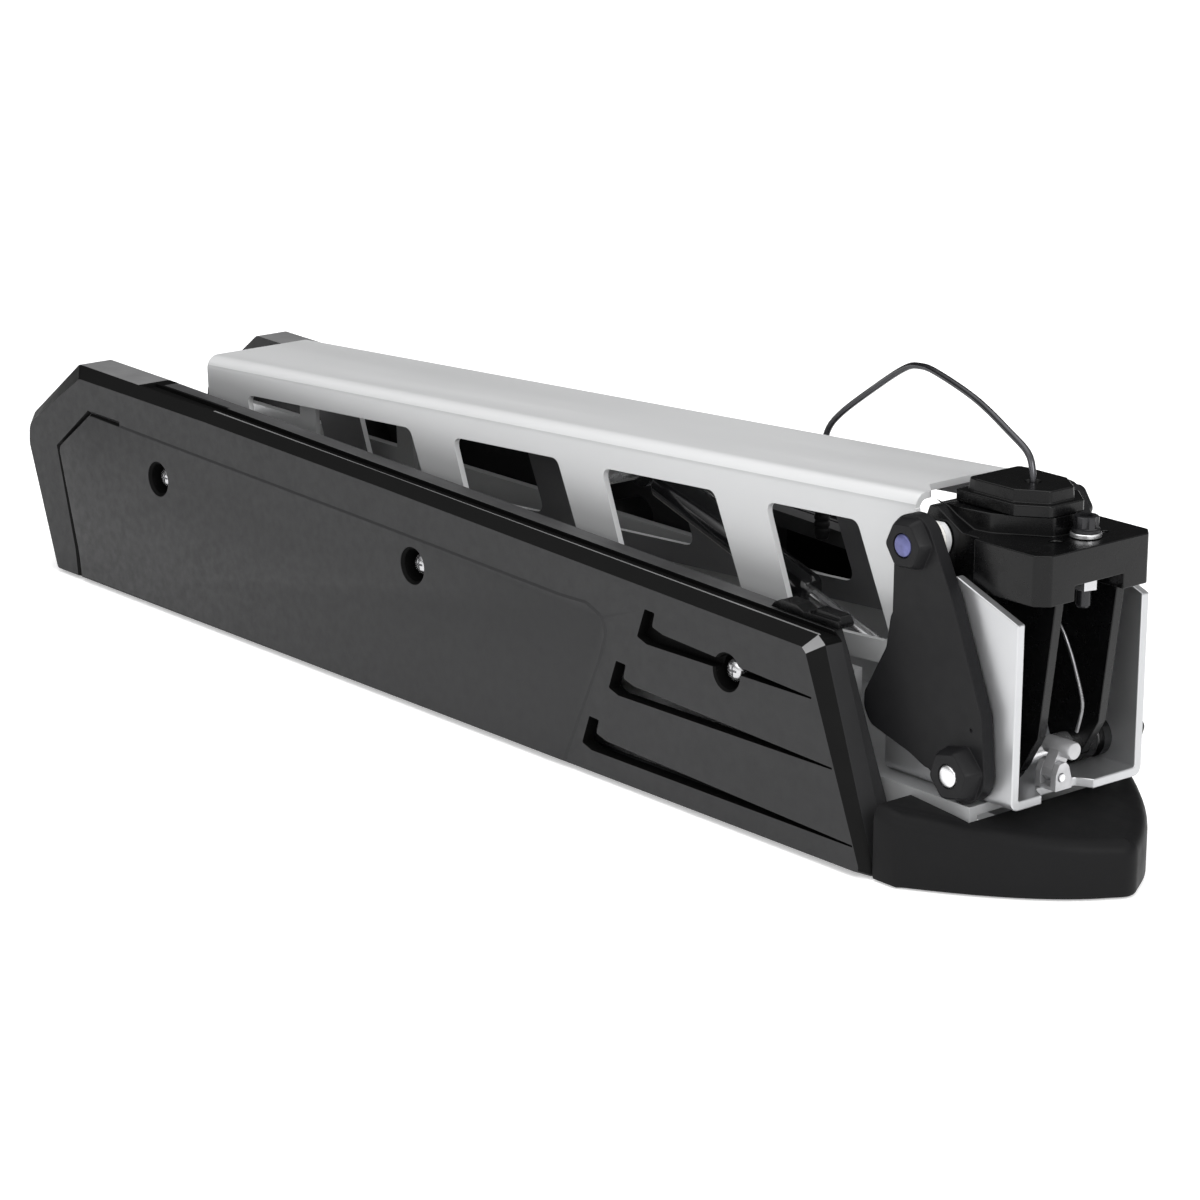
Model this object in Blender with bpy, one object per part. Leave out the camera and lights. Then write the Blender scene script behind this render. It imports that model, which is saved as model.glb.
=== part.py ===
"""Folding bow mount of a cable-steer trolling motor, shown stowed.

Frame: metres, +X towards the bow, +Y to port, +Z up. The origin is at the middle of the
footprint, on the deck. Lengths below are written in millimetres times MM. The x values of
the pieces are counted from DATUM_X, the front edge of the hinge bracket.
"""
import math

import bmesh
import bpy
from mathutils import Matrix, Vector

MM = 0.001
GAP = 0.3                       # clearance between touching pieces, mm

# ---------------------------------------------------------------- driving dimensions, mm
REAR_X = -848.0                 # rear tip of the side plates
NOSE_X = 39.0                   # tip of the bumper
DATUM_X = -(REAR_X + NOSE_X) / 2

PLATE_FACE_Y = 86.5             # outer face of a side plate
PLATE_BEVEL_Y = 80.0            # where the bevel round its edge ends
RAIL_OUT_Y = 56.5               # outer side of the base extrusion
RAIL_IN_Y = 51.0
PLATE_BACK_Y = RAIL_OUT_Y + GAP
RAIL_TOP_Z = 96.0
RAIL_END_X = -104.0
DECK_Z = 44.0                   # top of the extrusion's web
DECK_THICK = 5.0
BASE_FRONT_X = -20.0
BASE_REAR_X = -800.0

BRACKET_OUT_Y = 47.5
BRACKET_IN_Y = 42.5
BRACKET_FLOOR_Z = DECK_Z + GAP
BRACKET_THICK = 5.0

LOWER_PIVOT = (-27.0, 60.5)     # x, z of the hinge on the bracket
UPPER_PIVOT = (-65.7, 170.5)    # x, z of the hinge between tower and channel
PIVOT_R = 6.0

LINK_IN_Y = BRACKET_OUT_Y + 0.8
LINK_OUT_Y = LINK_IN_Y + 8.0
LINK_BOSS_Y = {LOWER_PIVOT: 66.0, UPPER_PIVOT: 63.0}     # outer face of each boss

CHANNEL_OUT_Y = 41.5
CHANNEL_WALL = 3.5
CHANNEL_FOLD_R = 12.0
CHANNEL_TOP_W = 21.0            # top of the channel above the upper pivot, square to it
CHANNEL_DEPTH = 92.0
CHANNEL_PITCH = math.radians(3.3)
CHANNEL_REAR_U = -637.0

TOWER_HEAD_Y = 37.2
TOWER_LEG_Y = 25.0              # outer face of a leg
TOWER_HUB_Y = 33.0              # outer face of the hub at its foot
HUB_R = 10.8
TOWER_BLOCK_Y = 41.0
TOWER_SLOT_Y = 19.0
BUSH_IN_Y = 37.0                # inner face of the bush on the bracket wall
LOWER_SPACER_R = 7.6

ROLLER_R = 13.0
LINER_THICK = 2.7
AXLE_R = 4.0
AXLE_Z = DECK_Z + GAP + LINER_THICK + GAP + ROLLER_R
AXLE_X = -688.0

SCREW_HOLES_X = (-692.0, -434.0, -168.0)
SCREW_Z = 85.0
COUNTERBORE_R = 10.0
COUNTERBORE_FLOOR_Y = 75.0

BRACKET_BOLTS = ((-76.0, -26.0), (-76.0, 26.0), (-46.0, -26.0), (-46.0, 26.0))
MOUNT_HOLES_X = (-740.0, -430.0, -130.0)
MOUNT_HOLE_Y = 38.0
MOUNT_HOLE_R = 4.5
FOOT_IN_Y = 25.0                # inner edge of a foot of the extrusion
FOOT_THICK = 6.0

TOWER_BLOCK_TOP = 176.0
TOWER_BLOCK_LOW = 150.0
TOWER_SLOT_TOP = 158.0
TOWER_PAD_TOP = 186.0
TOWER_BOLT = (-6.2, 5.4)        # x, y of the bolt through the block
TOWER_HOLE_R = 4.4
TOWER_POCKET = (-9.5, -12.0)    # x, y of the blind pocket beside it
TOWER_POCKET_R = 3.5
GUIDE_TOP = 199.0

WINDOWS = ((-596.0, -430.0), (-390.0, -295.0), (-257.0, -164.0), (-124.0, -54.5))
BRACE_U = -545.0

WIRE_X = -38.0
WIRE_R = 1.8
WIRE_LOW = 182.0
WIRE_ROUTE = ((WIRE_X, 0, WIRE_LOW), (WIRE_X, 0, 194), (WIRE_X - 1, 0.5, 204), (-44, 2, 212),
              (-58, 4, 219), (-89, 11, 229.5), (-125, 19, 236), (-143, 24, 236), (-160, 29, 231),
              (-196, 40, 211), (-226, 47.5, 192), (-238, 49.5, 180), (-241, 49.5, 166),
              (-241, 49.5, 156))
CABLE_ROUTE = ((WIRE_X, 0, 176.3), (WIRE_X, 0, 166), (WIRE_X, 0, 152), (WIRE_X + 0.5, 0, 144),
               (-29, 0.5, 136.5), (-18, 1, 130), (-10, 1, 118), (-5, 1, 107), (-1.2, 1, 97),
               (0.2, 1, 90.5), (-0.8, 1, 84), (-3, 1, 76))
CABLE_R = 0.9

LATCH_PIVOT = (-14.5, 56.5)     # y, z of the latch lever's pin
LATCH_TIP = (-8.0, 69.5)        # y, z of its knuckle
LATCH_X = (-12.0, 2.0)
LATCH_PIN_R = 2.0

SPRING_REAR = (-330.0, 148.0)   # x, z of its pin in the channel
SPRING_FRONT = (-72.0, 66.0)    # x, z of its pin on the bracket floor
SPRING_R = 10.0
SPRING_BODY = 140.0
SPRING_ROD_START = 127.5        # inner end of the rod, from the rear pin
SPRING_ROD_R = 4.0
SPRING_PIN_R = 3.5
SADDLE_R = 10.0                 # outside of the rod's open end
SADDLE_BORE_R = 7.0

ROUND = 24                      # sides of an ordinary round piece
FAR = 60.0                      # how far a cutter runs past the middle plane


# ---------------------------------------------------------------- materials
def material(name, colour, roughness, metallic):
    mat = bpy.data.materials.new(name)
    mat.use_nodes = True
    shader = mat.node_tree.nodes["Principled BSDF"]
    shader.inputs["Base Color"].default_value = (*colour, 1.0)
    shader.inputs["Roughness"].default_value = roughness
    shader.inputs["Metallic"].default_value = metallic
    mat.diffuse_color = (*colour, 1.0)
    return mat


def make_materials():
    return {
        "black_plastic": material("black_plastic", (0.035, 0.035, 0.037), 0.35, 0.0),
        "satin_black": material("satin_black", (0.022, 0.022, 0.024), 0.45, 0.0),
        "black_rubber": material("black_rubber", (0.030, 0.030, 0.032), 0.75, 0.0),
        "anodised": material("anodised", (0.62, 0.63, 0.64), 0.32, 0.9),
        "extrusion": material("extrusion", (0.50, 0.51, 0.52), 0.40, 0.9),
        "steel": material("steel", (0.60, 0.61, 0.63), 0.28, 1.0),
        "dark_steel": material("dark_steel", (0.09, 0.09, 0.10), 0.30, 1.0),
        "nylon": material("nylon", (0.70, 0.69, 0.64), 0.50, 0.0),
    }


# ---------------------------------------------------------------- shape helpers
def point(x, y, z):
    """World point in metres from x (from the bracket's front edge), y and z in mm."""
    return Vector(((x + DATUM_X) * MM, y * MM, z * MM))


def new_object(name, bm, mat):
    bmesh.ops.recalc_face_normals(bm, faces=bm.faces)
    mesh = bpy.data.meshes.new(name)
    bm.to_mesh(mesh)
    bm.free()
    obj = bpy.data.objects.new(name, mesh)
    bpy.context.scene.collection.objects.link(obj)
    if mat is not None:
        mesh.materials.append(mat)
    return obj


def loft(name, rings, mat):
    """Solid through a list of closed rings that have the same number of points."""
    bm = bmesh.new()
    loops = [[bm.verts.new(p) for p in ring] for ring in rings]
    count = len(loops[0])
    for low, high in zip(loops, loops[1:]):
        for i in range(count):
            j = (i + 1) % count
            bm.faces.new((low[i], low[j], high[j], high[i]))
    bm.faces.new(list(reversed(loops[0])))
    bm.faces.new(loops[-1])
    return new_object(name, bm, mat)


def prism_y(name, outline, y_from, y_to, mat=None):
    """Side view outline of (x, z) points, extruded across the mount."""
    rings = [[point(x, y, z) for x, z in outline] for y in (y_from, y_to)]
    return loft(name, rings, mat)


def prism_x(name, outline, x_from, x_to, mat=None):
    """End view outline of (y, z) points, extruded along the mount."""
    rings = [[point(x, y, z) for y, z in outline] for x in (x_from, x_to)]
    return loft(name, rings, mat)


def prism_z(name, outline, z_from, z_to, mat=None):
    """Plan outline of (x, y) points, extruded upwards."""
    rings = [[point(x, y, z) for x, y in outline] for z in (z_from, z_to)]
    return loft(name, rings, mat)


def box(name, x_range, y_range, z_range, mat=None):
    outline = [(x_range[0], z_range[0]), (x_range[1], z_range[0]),
               (x_range[1], z_range[1]), (x_range[0], z_range[1])]
    return prism_y(name, outline, y_range[0], y_range[1], mat)


def turned(name, start, end, profile, mat=None, sides=ROUND):
    """Round piece: profile is a list of (distance from start in mm, radius in mm)."""
    first, last = point(*start), point(*end)
    axis = (last - first).normalized()
    helper = Vector((0, 0, 1)) if abs(axis.z) < 0.9 else Vector((1, 0, 0))
    side = axis.cross(helper).normalized()
    other = axis.cross(side)
    rings = []
    for along, radius in profile:
        centre = first + axis * along * MM
        ring = []
        for i in range(sides):
            angle = 2 * math.pi * (i + 0.5) / sides
            ring.append(centre + (side * math.cos(angle) + other * math.sin(angle)) * radius * MM)
        rings.append(ring)
    return loft(name, rings, mat)


def rod(name, start, end, radius, mat=None, sides=ROUND):
    length = (point(*end) - point(*start)).length / MM
    return turned(name, start, end, [(0, radius), (length, radius)], mat, sides)


def cross_bore(name, centre, radius):
    """Cutter for a hole right across the mount, at (x, z)."""
    x, z = centre
    return rod(name, (x, -FAR, z), (x, FAR, z), radius)


def arc(centre, radius, start, end, steps):
    """Points (a, b) on a circle, angles in degrees."""
    points = []
    for i in range(steps + 1):
        angle = math.radians(start + (end - start) * i / steps)
        points.append((centre[0] + radius * math.cos(angle), centre[1] + radius * math.sin(angle)))
    return points


def combine(obj, others, operation):
    for other in others:
        other.hide_render = True
        other.display_type = "WIRE"
        mod = obj.modifiers.new(operation.lower(), "BOOLEAN")
        mod.operation = operation
        mod.solver = "EXACT"
        mod.object = other
    return obj


def cut(obj, *others):
    return combine(obj, others, "DIFFERENCE")


def add(obj, *others):
    return combine(obj, others, "UNION")


def soften(obj, width, segments=1, angle=40):
    mod = obj.modifiers.new("edge", "BEVEL")
    mod.width = width * MM
    mod.segments = segments
    mod.limit_method = "ANGLE"
    mod.angle_limit = math.radians(angle)
    return obj


def tube_along(name, points, radius, mat, resolution=2, spacing=7.0):
    """Wire through hand-picked points, on a smooth curve sampled at even steps."""
    places = [point(*p) for p in points]
    dense = []
    for i in range(len(places) - 1):
        before = places[max(i - 1, 0)]
        a, b = places[i], places[i + 1]
        after = places[min(i + 2, len(places) - 1)]
        for k in range(20):
            t = k / 20
            dense.append(0.5 * (2 * a + (b - before) * t
                                + (2 * before - 5 * a + 4 * b - after) * t * t
                                + (3 * a - before - 3 * b + after) * t ** 3))
    dense.append(places[-1])
    kept = [dense[0]]
    for p in dense[1:-1]:
        if (p - kept[-1]).length >= spacing * MM:
            kept.append(p)
    if (dense[-1] - kept[-1]).length < spacing * MM * 0.5:
        kept.pop()
    kept.append(dense[-1])
    curve = bpy.data.curves.new(name, "CURVE")
    curve.dimensions = "3D"
    curve.bevel_depth = radius * MM
    curve.bevel_resolution = resolution
    curve.use_fill_caps = True
    spline = curve.splines.new("POLY")
    spline.points.add(len(kept) - 1)
    for spot, p in zip(spline.points, kept):
        spot.co = (*p, 1.0)
    obj = bpy.data.objects.new(name, curve)
    bpy.context.scene.collection.objects.link(obj)
    curve.materials.append(mat)
    return obj


def pivot(name, x, y, z):
    """Empty on a joint's axis; the pieces of the moving body are parented to it."""
    empty = bpy.data.objects.new(name, None)
    empty.location = point(x, y, z)
    bpy.context.scene.collection.objects.link(empty)
    return empty


def hang(parent, *pieces):
    """Parent pieces, made in world coordinates, to an empty that stands on their axis."""
    for piece in pieces:
        if piece.type == "MESH":
            piece.data.transform(Matrix.Translation(-parent.location))
            piece.parent = parent
        else:
            piece.parent = parent
            piece.location = -parent.location


# ---------------------------------------------------------------- base
def make_base_extrusion(mats):
    """Aluminium extrusion: two rails, a deck between them and feet turned inwards."""
    web_low = DECK_Z - DECK_THICK
    half = [(FOOT_IN_Y, 0), (RAIL_OUT_Y, 0), (RAIL_OUT_Y, RAIL_TOP_Z), (RAIL_IN_Y, RAIL_TOP_Z),
            (RAIL_IN_Y, DECK_Z)]
    under = [(RAIL_IN_Y, web_low), (RAIL_IN_Y, FOOT_THICK), (FOOT_IN_Y, FOOT_THICK)]
    outline = list(half)
    outline += [(-y, z) for y, z in reversed(half)]
    outline += [(-y, z) for y, z in reversed(under)]
    outline += under
    body = prism_x("base_extrusion", outline, BASE_REAR_X, BASE_FRONT_X, mats["extrusion"])
    front = box("cut_rail_front", (RAIL_END_X, 10), (-90, 90), (DECK_Z, 120))
    cut(body, front)
    for x in MOUNT_HOLES_X:
        for y in (-MOUNT_HOLE_Y, MOUNT_HOLE_Y):
            cut(body, rod("cut_mount_hole", (x, y, -5), (x, y, FOOT_THICK + 4), MOUNT_HOLE_R, sides=16))
    return body


def nose_half_width(x):
    """Half width of the bumper's curved front at a distance x from the bracket edge."""
    reach = (NOSE_X - x) / 94.0
    return 84.0 * (-0.3 + math.sqrt(0.09 + 2.52 * reach)) / 1.26


def nose_plan(shrink, steps=14):
    """Plan outline, starboard rear corner round the tip to the port rear corner."""
    rear_x = -61.0
    side = []
    for i in range(steps):
        x = -46.0 + (NOSE_X - 5.0 + 46.0) * math.sin(0.5 * math.pi * i / (steps - 1))
        side.append((x, nose_half_width(x)))
    tip = [(NOSE_X - 1.2, 5.5), (NOSE_X, 0.0)]
    half = [(rear_x, side[0][1])] + side + tip
    half = [(max(x - shrink, rear_x), max(y - shrink, 0.0)) for x, y in half]
    return [(x, -y) for x, y in half] + [(x, y) for x, y in reversed(half[:-1])]


def make_nose_bumper(mats):
    """Rubber bumper with a crowned, falling top, slotted over the end of the extrusion."""
    def top(x, drop):
        return 40.0 - 11.0 * max(0.0, (x + 61.0) / 100.0) ** 1.2 - drop

    rings = []
    for shrink, level in ((2.0, 0.0), (0.0, 2.5)):
        rings.append([point(x, y, level) for x, y in nose_plan(shrink)])
    for shrink, drop in ((0.0, 7.0), (1.6, 2.6), (5.5, 0.0)):
        rings.append([point(x, y, top(x, drop)) for x, y in nose_plan(shrink)])
    body = loft("nose_bumper", rings, mats["black_rubber"])
    half = RAIL_OUT_Y + GAP
    return cut(body, box("cut_nose_slot", (-80, BASE_FRONT_X + GAP), (-half, half), (-5, 60)))


def plate_outline(level):
    """Side view of a side plate; level 0 is its outer face, 1 the back of its bevel."""
    face = [(-813, 2), (-842, 80), (-841, 93), (-780, 133), (-640, 130.5), (-112, 112),
            (-108, 108), (-66, 3)]
    back = [(-817, 0.5), (REAR_X, 80), (-847, 97), (-789, 140), (-640, 136.5), (-109, 118.5),
            (-101, 114), (-61.5, 0.5)]
    return [(a[0] + (b[0] - a[0]) * level, a[1] + (b[1] - a[1]) * level)
            for a, b in zip(face, back)]


def make_side_plate(name, side, mats):
    """Moulded cover: a bevelled shell, open at the back, with screw bosses inside."""
    wall = 3.0
    rings = []
    for y, level in ((PLATE_FACE_Y, 0.0), (PLATE_BEVEL_Y, 1.0), (PLATE_BACK_Y, 1.0)):
        rings.append([point(x, side * y, z) for x, z in plate_outline(level)])
    body = loft(name, rings, mats["black_plastic"])
    centre_x, centre_z = -450.0, 62.0
    hollow = []
    for x, z in plate_outline(0.0):
        hollow.append((x - math.copysign(wall, x - centre_x), z - math.copysign(wall, z - centre_z)))
    inner = prism_y("cut_hollow", hollow, side * (PLATE_FACE_Y - wall), side * (PLATE_BACK_Y - 5))
    for x in SCREW_HOLES_X:
        cut(inner, rod("cut_boss", (x, side * (PLATE_FACE_Y + 1), SCREW_Z),
                       (x, side * (PLATE_BACK_Y - 8), SCREW_Z), COUNTERBORE_R + wall))
    cut(body, inner)
    start_y, end_y, hole_r = PLATE_FACE_Y + 5, PLATE_BACK_Y - 5, 3.4
    depth = start_y - COUNTERBORE_FLOOR_Y
    for x in SCREW_HOLES_X:
        cut(body, turned("cut_counterbore", (x, side * start_y, SCREW_Z), (x, side * end_y, SCREW_Z),
                         [(0, COUNTERBORE_R), (depth, COUNTERBORE_R), (depth, hole_r),
                          (start_y - end_y, hole_r)]))
    for outline in louvre_outlines():
        cut(body, prism_y("cut_louvre", outline, side * (PLATE_FACE_Y + 5), side * (PLATE_FACE_Y - 8)))
    return body


def louvre_outlines():
    """Hooked ends of the three cooling louvres, in side view."""
    shapes = []
    for x, z in ((-239.0, 86.0), (-262.0, 52.0), (-284.0, 18.0)):
        shapes.append([(x, z), (x + 2, z - 3), (x + 26, z - 1), (x + 24, z + 3),
                       (x + 9, z + 5), (x + 17, z + 18), (x + 12, z + 18)])
    return shapes


def make_screw(name, x, side, mats):
    """Pan-head screw through a plate boss into the rail; its shank stops at the rail."""
    head_y = COUNTERBORE_FLOOR_Y + GAP
    shank = head_y - (RAIL_OUT_Y + GAP)
    return turned(name, (x, side * (head_y + 4), SCREW_Z), (x, side * RAIL_OUT_Y, SCREW_Z),
                  [(0, 2.5), (0.8, 5.2), (2.6, 6.6), (4.0, 6.6), (4.0, 3.0), (4.0 + shank, 3.0)],
                  mats["dark_steel"], 16)


def make_end_cap(mats):
    """Plug that closes the rear of the extrusion, between the two side plates."""
    inner = RAIL_IN_Y - GAP
    cap = box("rear_end_cap", (BASE_REAR_X + 1, BASE_REAR_X + 13), (-inner, inner),
              (DECK_Z + GAP, 88), mats["satin_black"])
    return soften(cap, 2.0)


def make_track_liner(name, side, mats):
    """Low-friction strip on the deck that a roller runs on."""
    return box(name, (-780, -300), (side * 20, side * 50), (DECK_Z + GAP, DECK_Z + GAP + LINER_THICK),
               mats["nylon"])


def make_bracket(mats):
    """Folded hinge bracket: floor with a recessed front edge and two sloping walls."""
    floor_top = BRACKET_FLOOR_Z + BRACKET_THICK
    corner = 5.0
    outline = [(-BRACKET_OUT_Y, 160)] + arc((-BRACKET_OUT_Y + corner, BRACKET_FLOOR_Z + corner),
                                            corner, 180, 270, 3)
    outline += arc((BRACKET_OUT_Y - corner, BRACKET_FLOOR_Z + corner), corner, 270, 360, 3)
    outline += [(BRACKET_OUT_Y, 160), (BRACKET_IN_Y, 160), (BRACKET_IN_Y, floor_top),
                (-BRACKET_IN_Y, floor_top), (-BRACKET_IN_Y, 160)]
    body = prism_x("front_bracket", outline, -90, 0, mats["anodised"])
    above = prism_y("cut_bracket_side", [(20, 141), (0, 141), (-43, 157), (-56, 150), (-84, 78),
                                         (-92, 66), (-120, 66), (-120, 190), (20, 190)], -80, 80)
    recess = prism_z("cut_bracket_recess", [(10, -26), (10, 12), (0, 12), (-9, 7), (-9, -21), (0, -26)],
                     30, 70)
    cut(body, above, recess)
    for x, y in BRACKET_BOLTS:
        cut(body, rod("cut_bracket_hole", (x, y, 30), (x, y, 60), 4.3, sides=16))
    return cut(body, cross_bore("cut_bracket_bore", LOWER_PIVOT, PIVOT_R + GAP))


def make_bracket_bolt(name, x, y, mats):
    """Hex bolt that holds the bracket on the deck; its shank stops above the deck."""
    floor_top = BRACKET_FLOOR_Z + BRACKET_THICK
    high = 4.5
    return turned(name, (x, y, floor_top + GAP + high), (x, y, 40),
                  [(0, 6.6), (high, 7.2), (high, 3.9), (high + BRACKET_THICK, 3.9)], mats["steel"], 6)


def make_corner_block(name, side, mats):
    """Low two-humped guide block on the top edge of a side plate, at its front end."""
    outline = [(-154, 120.6), (-104, 119.2), (-103, 121.5), (-106, 125.2), (-123, 125.6), (-128.5, 122.2),
               (-135, 125.2), (-146, 125.6), (-151.5, 123.4)]
    return prism_y(name, outline, side * 58.5, side * 69.0, mats["satin_black"])


# ---------------------------------------------------------------- swing arm
def make_tower(mats):
    """Cast tower: a block on two legs, with a raised pad for the cable guide."""
    deck, low, high = TOWER_BLOCK_TOP, TOWER_BLOCK_LOW, TOWER_PAD_TOP
    block_plan = [(-38, -TOWER_BLOCK_Y), (3, -TOWER_BLOCK_Y), (9, -35), (9, 35), (3, TOWER_BLOCK_Y),
                  (-38, TOWER_BLOCK_Y)]
    body = prism_z("tower_casting", block_plan, low, deck, mats["satin_black"])
    head_side = [(-80, 158), (-82, 163), (-81, 172), (-76, 178), (-73, high), (-68, high),
                 (-50, deck), (-20, deck), (-20, low), (-45, low)]
    head = prism_y("cut_tower_head", head_side, -TOWER_HEAD_Y, TOWER_HEAD_Y)
    pad_plan = [(-73, -30), (-58, -30), (-22, -13), (-15, -8), (-15, 8), (-22, 13), (-58, 30),
                (-73, 30)]
    pad = prism_z("cut_tower_pad", pad_plan, low + 10, high)
    leg = [(4, low + 2), (-5, 77), (-16.5, 57)] + arc(LOWER_PIVOT, 11.0, -20, -160, 5)
    leg += [(-40, 68), (-52, 110), (-60, low + 2)]
    add(body, head, pad)
    low_x, low_z = LOWER_PIVOT
    for side in (-1, 1):
        add(body, prism_y("cut_tower_leg", leg, side * TOWER_SLOT_Y, side * TOWER_LEG_Y),
            rod("cut_tower_hub", (low_x, side * (TOWER_SLOT_Y + 1), low_z),
                (low_x, side * TOWER_HUB_Y, low_z), HUB_R))
    slot_half = TOWER_SLOT_Y - 1.5
    cut(body, box("cut_tower_slot", (-70, 20), (-slot_half, slot_half), (120, TOWER_SLOT_TOP)))
    for centre in (LOWER_PIVOT, UPPER_PIVOT):
        cut(body, cross_bore("cut_tower_bore", centre, PIVOT_R + GAP))
    for (x, y), low_end, radius in ((TOWER_BOLT, 140, TOWER_HOLE_R), (TOWER_POCKET, deck - 6, TOWER_POCKET_R),
                                    ((WIRE_X, 0), 140, 3.0)):
        cut(body, rod("cut_tower_hole", (x, y, low_end), (x, y, 200), radius, sides=16))
    return body


def link_outline():
    """Side view of a link: boss round each pivot and a knee at the rear."""
    low_x, low_z = LOWER_PIVOT
    top_x, top_z = UPPER_PIVOT
    outline = arc((low_x, low_z), 16.0, 10, -120, 6)
    outline += [(-46, 54), (-64, 62), (-92, 70), (-97, 78), (-97, 86), (-82, 113), (-78, 139)]
    outline += arc((top_x, top_z), 15.0, 215, 35, 7)
    outline += [(-37, 148), (-14, 92)]
    return outline


def make_link(name, side, mats):
    """Black link plate outside the bracket, with raised hexagonal bosses at the pivots."""
    body = prism_y(name, link_outline(), side * LINK_IN_Y, side * LINK_OUT_Y, mats["satin_black"])
    for (x, z), boss_y in LINK_BOSS_Y.items():
        boss = turned("cut_link_boss", (x, side * (LINK_OUT_Y - 2), z), (x, side * boss_y, z),
                      [(0, 15.5), (boss_y - LINK_OUT_Y + 2, 13.5)], sides=6)
        add(body, boss)
        cut(body, rod("cut_link_bore", (x, side * (LINK_IN_Y - 5), z), (x, side * (boss_y + 5), z),
                      PIVOT_R + GAP))
    return body


def make_pivot_bolt(name, centre, mats):
    """Plain pivot pin from boss to boss, with domed ends."""
    x, z = centre
    end = LINK_BOSS_Y[centre] + 0.5
    length = 2 * end
    return turned(name, (x, -end, z), (x, end, z),
                  [(0, 4.4), (1.2, PIVOT_R), (length - 1.2, PIVOT_R), (length, 4.4)], mats["steel"])


def make_ring(name, centre, y_from, y_to, outer, inner, mats, slot):
    """Bush or spacer on a pivot pin."""
    x, z = centre
    body = rod(name, (x, y_from, z), (x, y_to, z), outer, mats[slot])
    sign = math.copysign(5, y_to - y_from)
    return cut(body, rod("cut_ring", (x, y_from - sign, z), (x, y_to + sign, z), inner))


def make_cable_guide(mats):
    """Two-tier boss on the tower that leads the release wire in."""
    lip_top, wire_clearance = 192.5, 0.6
    lip = [(-70, -23), (-28, -23), (-14, -12), (-14, 12), (-28, 23), (-70, 23)]
    plateau = [(-66, -19), (-60, -20), (-32, -20), (-17, -9), (-17, 9), (-32, 20), (-60, 20), (-66, 19)]
    body = prism_z("cable_guide", lip, TOWER_PAD_TOP + GAP, lip_top, mats["satin_black"])
    add(body, prism_z("cut_guide_top", plateau, lip_top - 4, GUIDE_TOP))
    return cut(body, rod("cut_guide_hole", (WIRE_X, 0, 180), (WIRE_X, 0, 210),
                         WIRE_R + wire_clearance, sides=16))


def make_tower_bolt(mats):
    """Hex bolt through the block, its washer, and the flange nut in the slot below."""
    x, y = TOWER_BOLT
    washer_thick, head_high, shank_r, end_z = 2.4, 8.0, 3.9, 140.0
    washer = make_washer("tower_bolt_washer", x, y, TOWER_BLOCK_TOP + GAP, washer_thick, 8.0, mats)
    head_top = TOWER_BLOCK_TOP + 2 * GAP + washer_thick + head_high
    bolt = turned("tower_bolt", (x, y, head_top), (x, y, end_z),
                  [(0, 5.2), (1.0, 6.4), (6.0, 6.4), (7.0, 7.4), (head_high, 7.4),
                   (head_high, shank_r), (head_top - end_z, shank_r)], mats["dark_steel"], 18)
    nut = turned("tower_bolt_nut", (x, y, TOWER_SLOT_TOP - GAP), (x, y, end_z),
                 [(0, 8.0), (1.6, 8.0), (1.6, 6.6), (8.0, 6.4)], mats["steel"], 18)
    cut(nut, rod("cut_nut", (x, y, 170), (x, y, end_z), shank_r + GAP, sides=16))
    return washer, bolt, nut


def make_washer(name, x, y, z, thick, outer, mats):
    body = rod(name, (x, y, z), (x, y, z + thick), outer, mats["steel"])
    return cut(body, rod("cut_washer", (x, y, z - 5), (x, y, z + thick + 5), 4.3, sides=16))


# ---------------------------------------------------------------- release wire
def make_release(mats):
    """Pull wire with its grip, and the thin cable that it draws up inside the tower."""
    wire = tube_along("pull_wire", WIRE_ROUTE, WIRE_R, mats["dark_steel"], 2, 8.0)
    end = WIRE_ROUTE[-1]
    grip = turned("pull_grip", (end[0], end[1], end[2] - GAP), (end[0], end[1], 110),
                  [(0, 3.0), (4, 4.4), (34, 4.4), (38, 3.0)], mats["black_rubber"], 16)
    ferrule = rod("cable_ferrule", (WIRE_X, 0, WIRE_LOW - GAP), (WIRE_X, 0, CABLE_ROUTE[0][2] + 0.4),
                  2.1, mats["steel"], 12)
    cable = tube_along("release_cable", CABLE_ROUTE, CABLE_R, mats["dark_steel"], 1, 5.0)
    return wire, grip, ferrule, cable


# ---------------------------------------------------------------- latch
def make_latch(mats):
    """Lever on a small foot: the cable lifts its knuckle to free the tower."""
    floor = BRACKET_FLOOR_Z + BRACKET_THICK + GAP
    cheek, lever_half = 3.5, 3.2
    rear_x, front_x = LATCH_X
    y, z = LATCH_PIVOT
    foot = prism_x("latch_foot", [(y - 3.8, floor), (y + 5.5, floor), (y + 4.4, z), (y + 2.2, z + 3.8),
                                  (y - 2.2, z + 3.8), (y - 3.8, z)], rear_x, front_x, mats["steel"])
    cut(foot, box("cut_latch_foot", (rear_x + cheek, front_x - cheek), (-40, 0), (floor + 1.9, 70)))
    pin = rod("latch_pin", (rear_x - 1, y, z), (front_x + 1, y, z), LATCH_PIN_R, mats["steel"], 16)
    tip_y, tip_z = LATCH_TIP
    arm = [(y, z - 3.6), (y + 3.0, z - 2.4), (tip_y + 4, tip_z - 2), (tip_y + 3.6, tip_z + 2),
           (tip_y, tip_z + 4), (tip_y - 3.6, tip_z + 1.6), (y - 2.8, z + 4), (y - 3.4, z)]
    middle = (rear_x + front_x) / 2
    lever = prism_x("latch_lever", arm, middle - lever_half, middle + lever_half, mats["steel"])
    add(lever, rod("cut_knuckle", (rear_x - 2, tip_y, tip_z), (front_x + 2, tip_y, tip_z), 4.3))
    for body in (foot, lever):
        cut(body, rod("cut_latch_bore", (-30, y, z), (20, y, z), LATCH_PIN_R + GAP, sides=16))
    return foot, pin, lever


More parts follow.
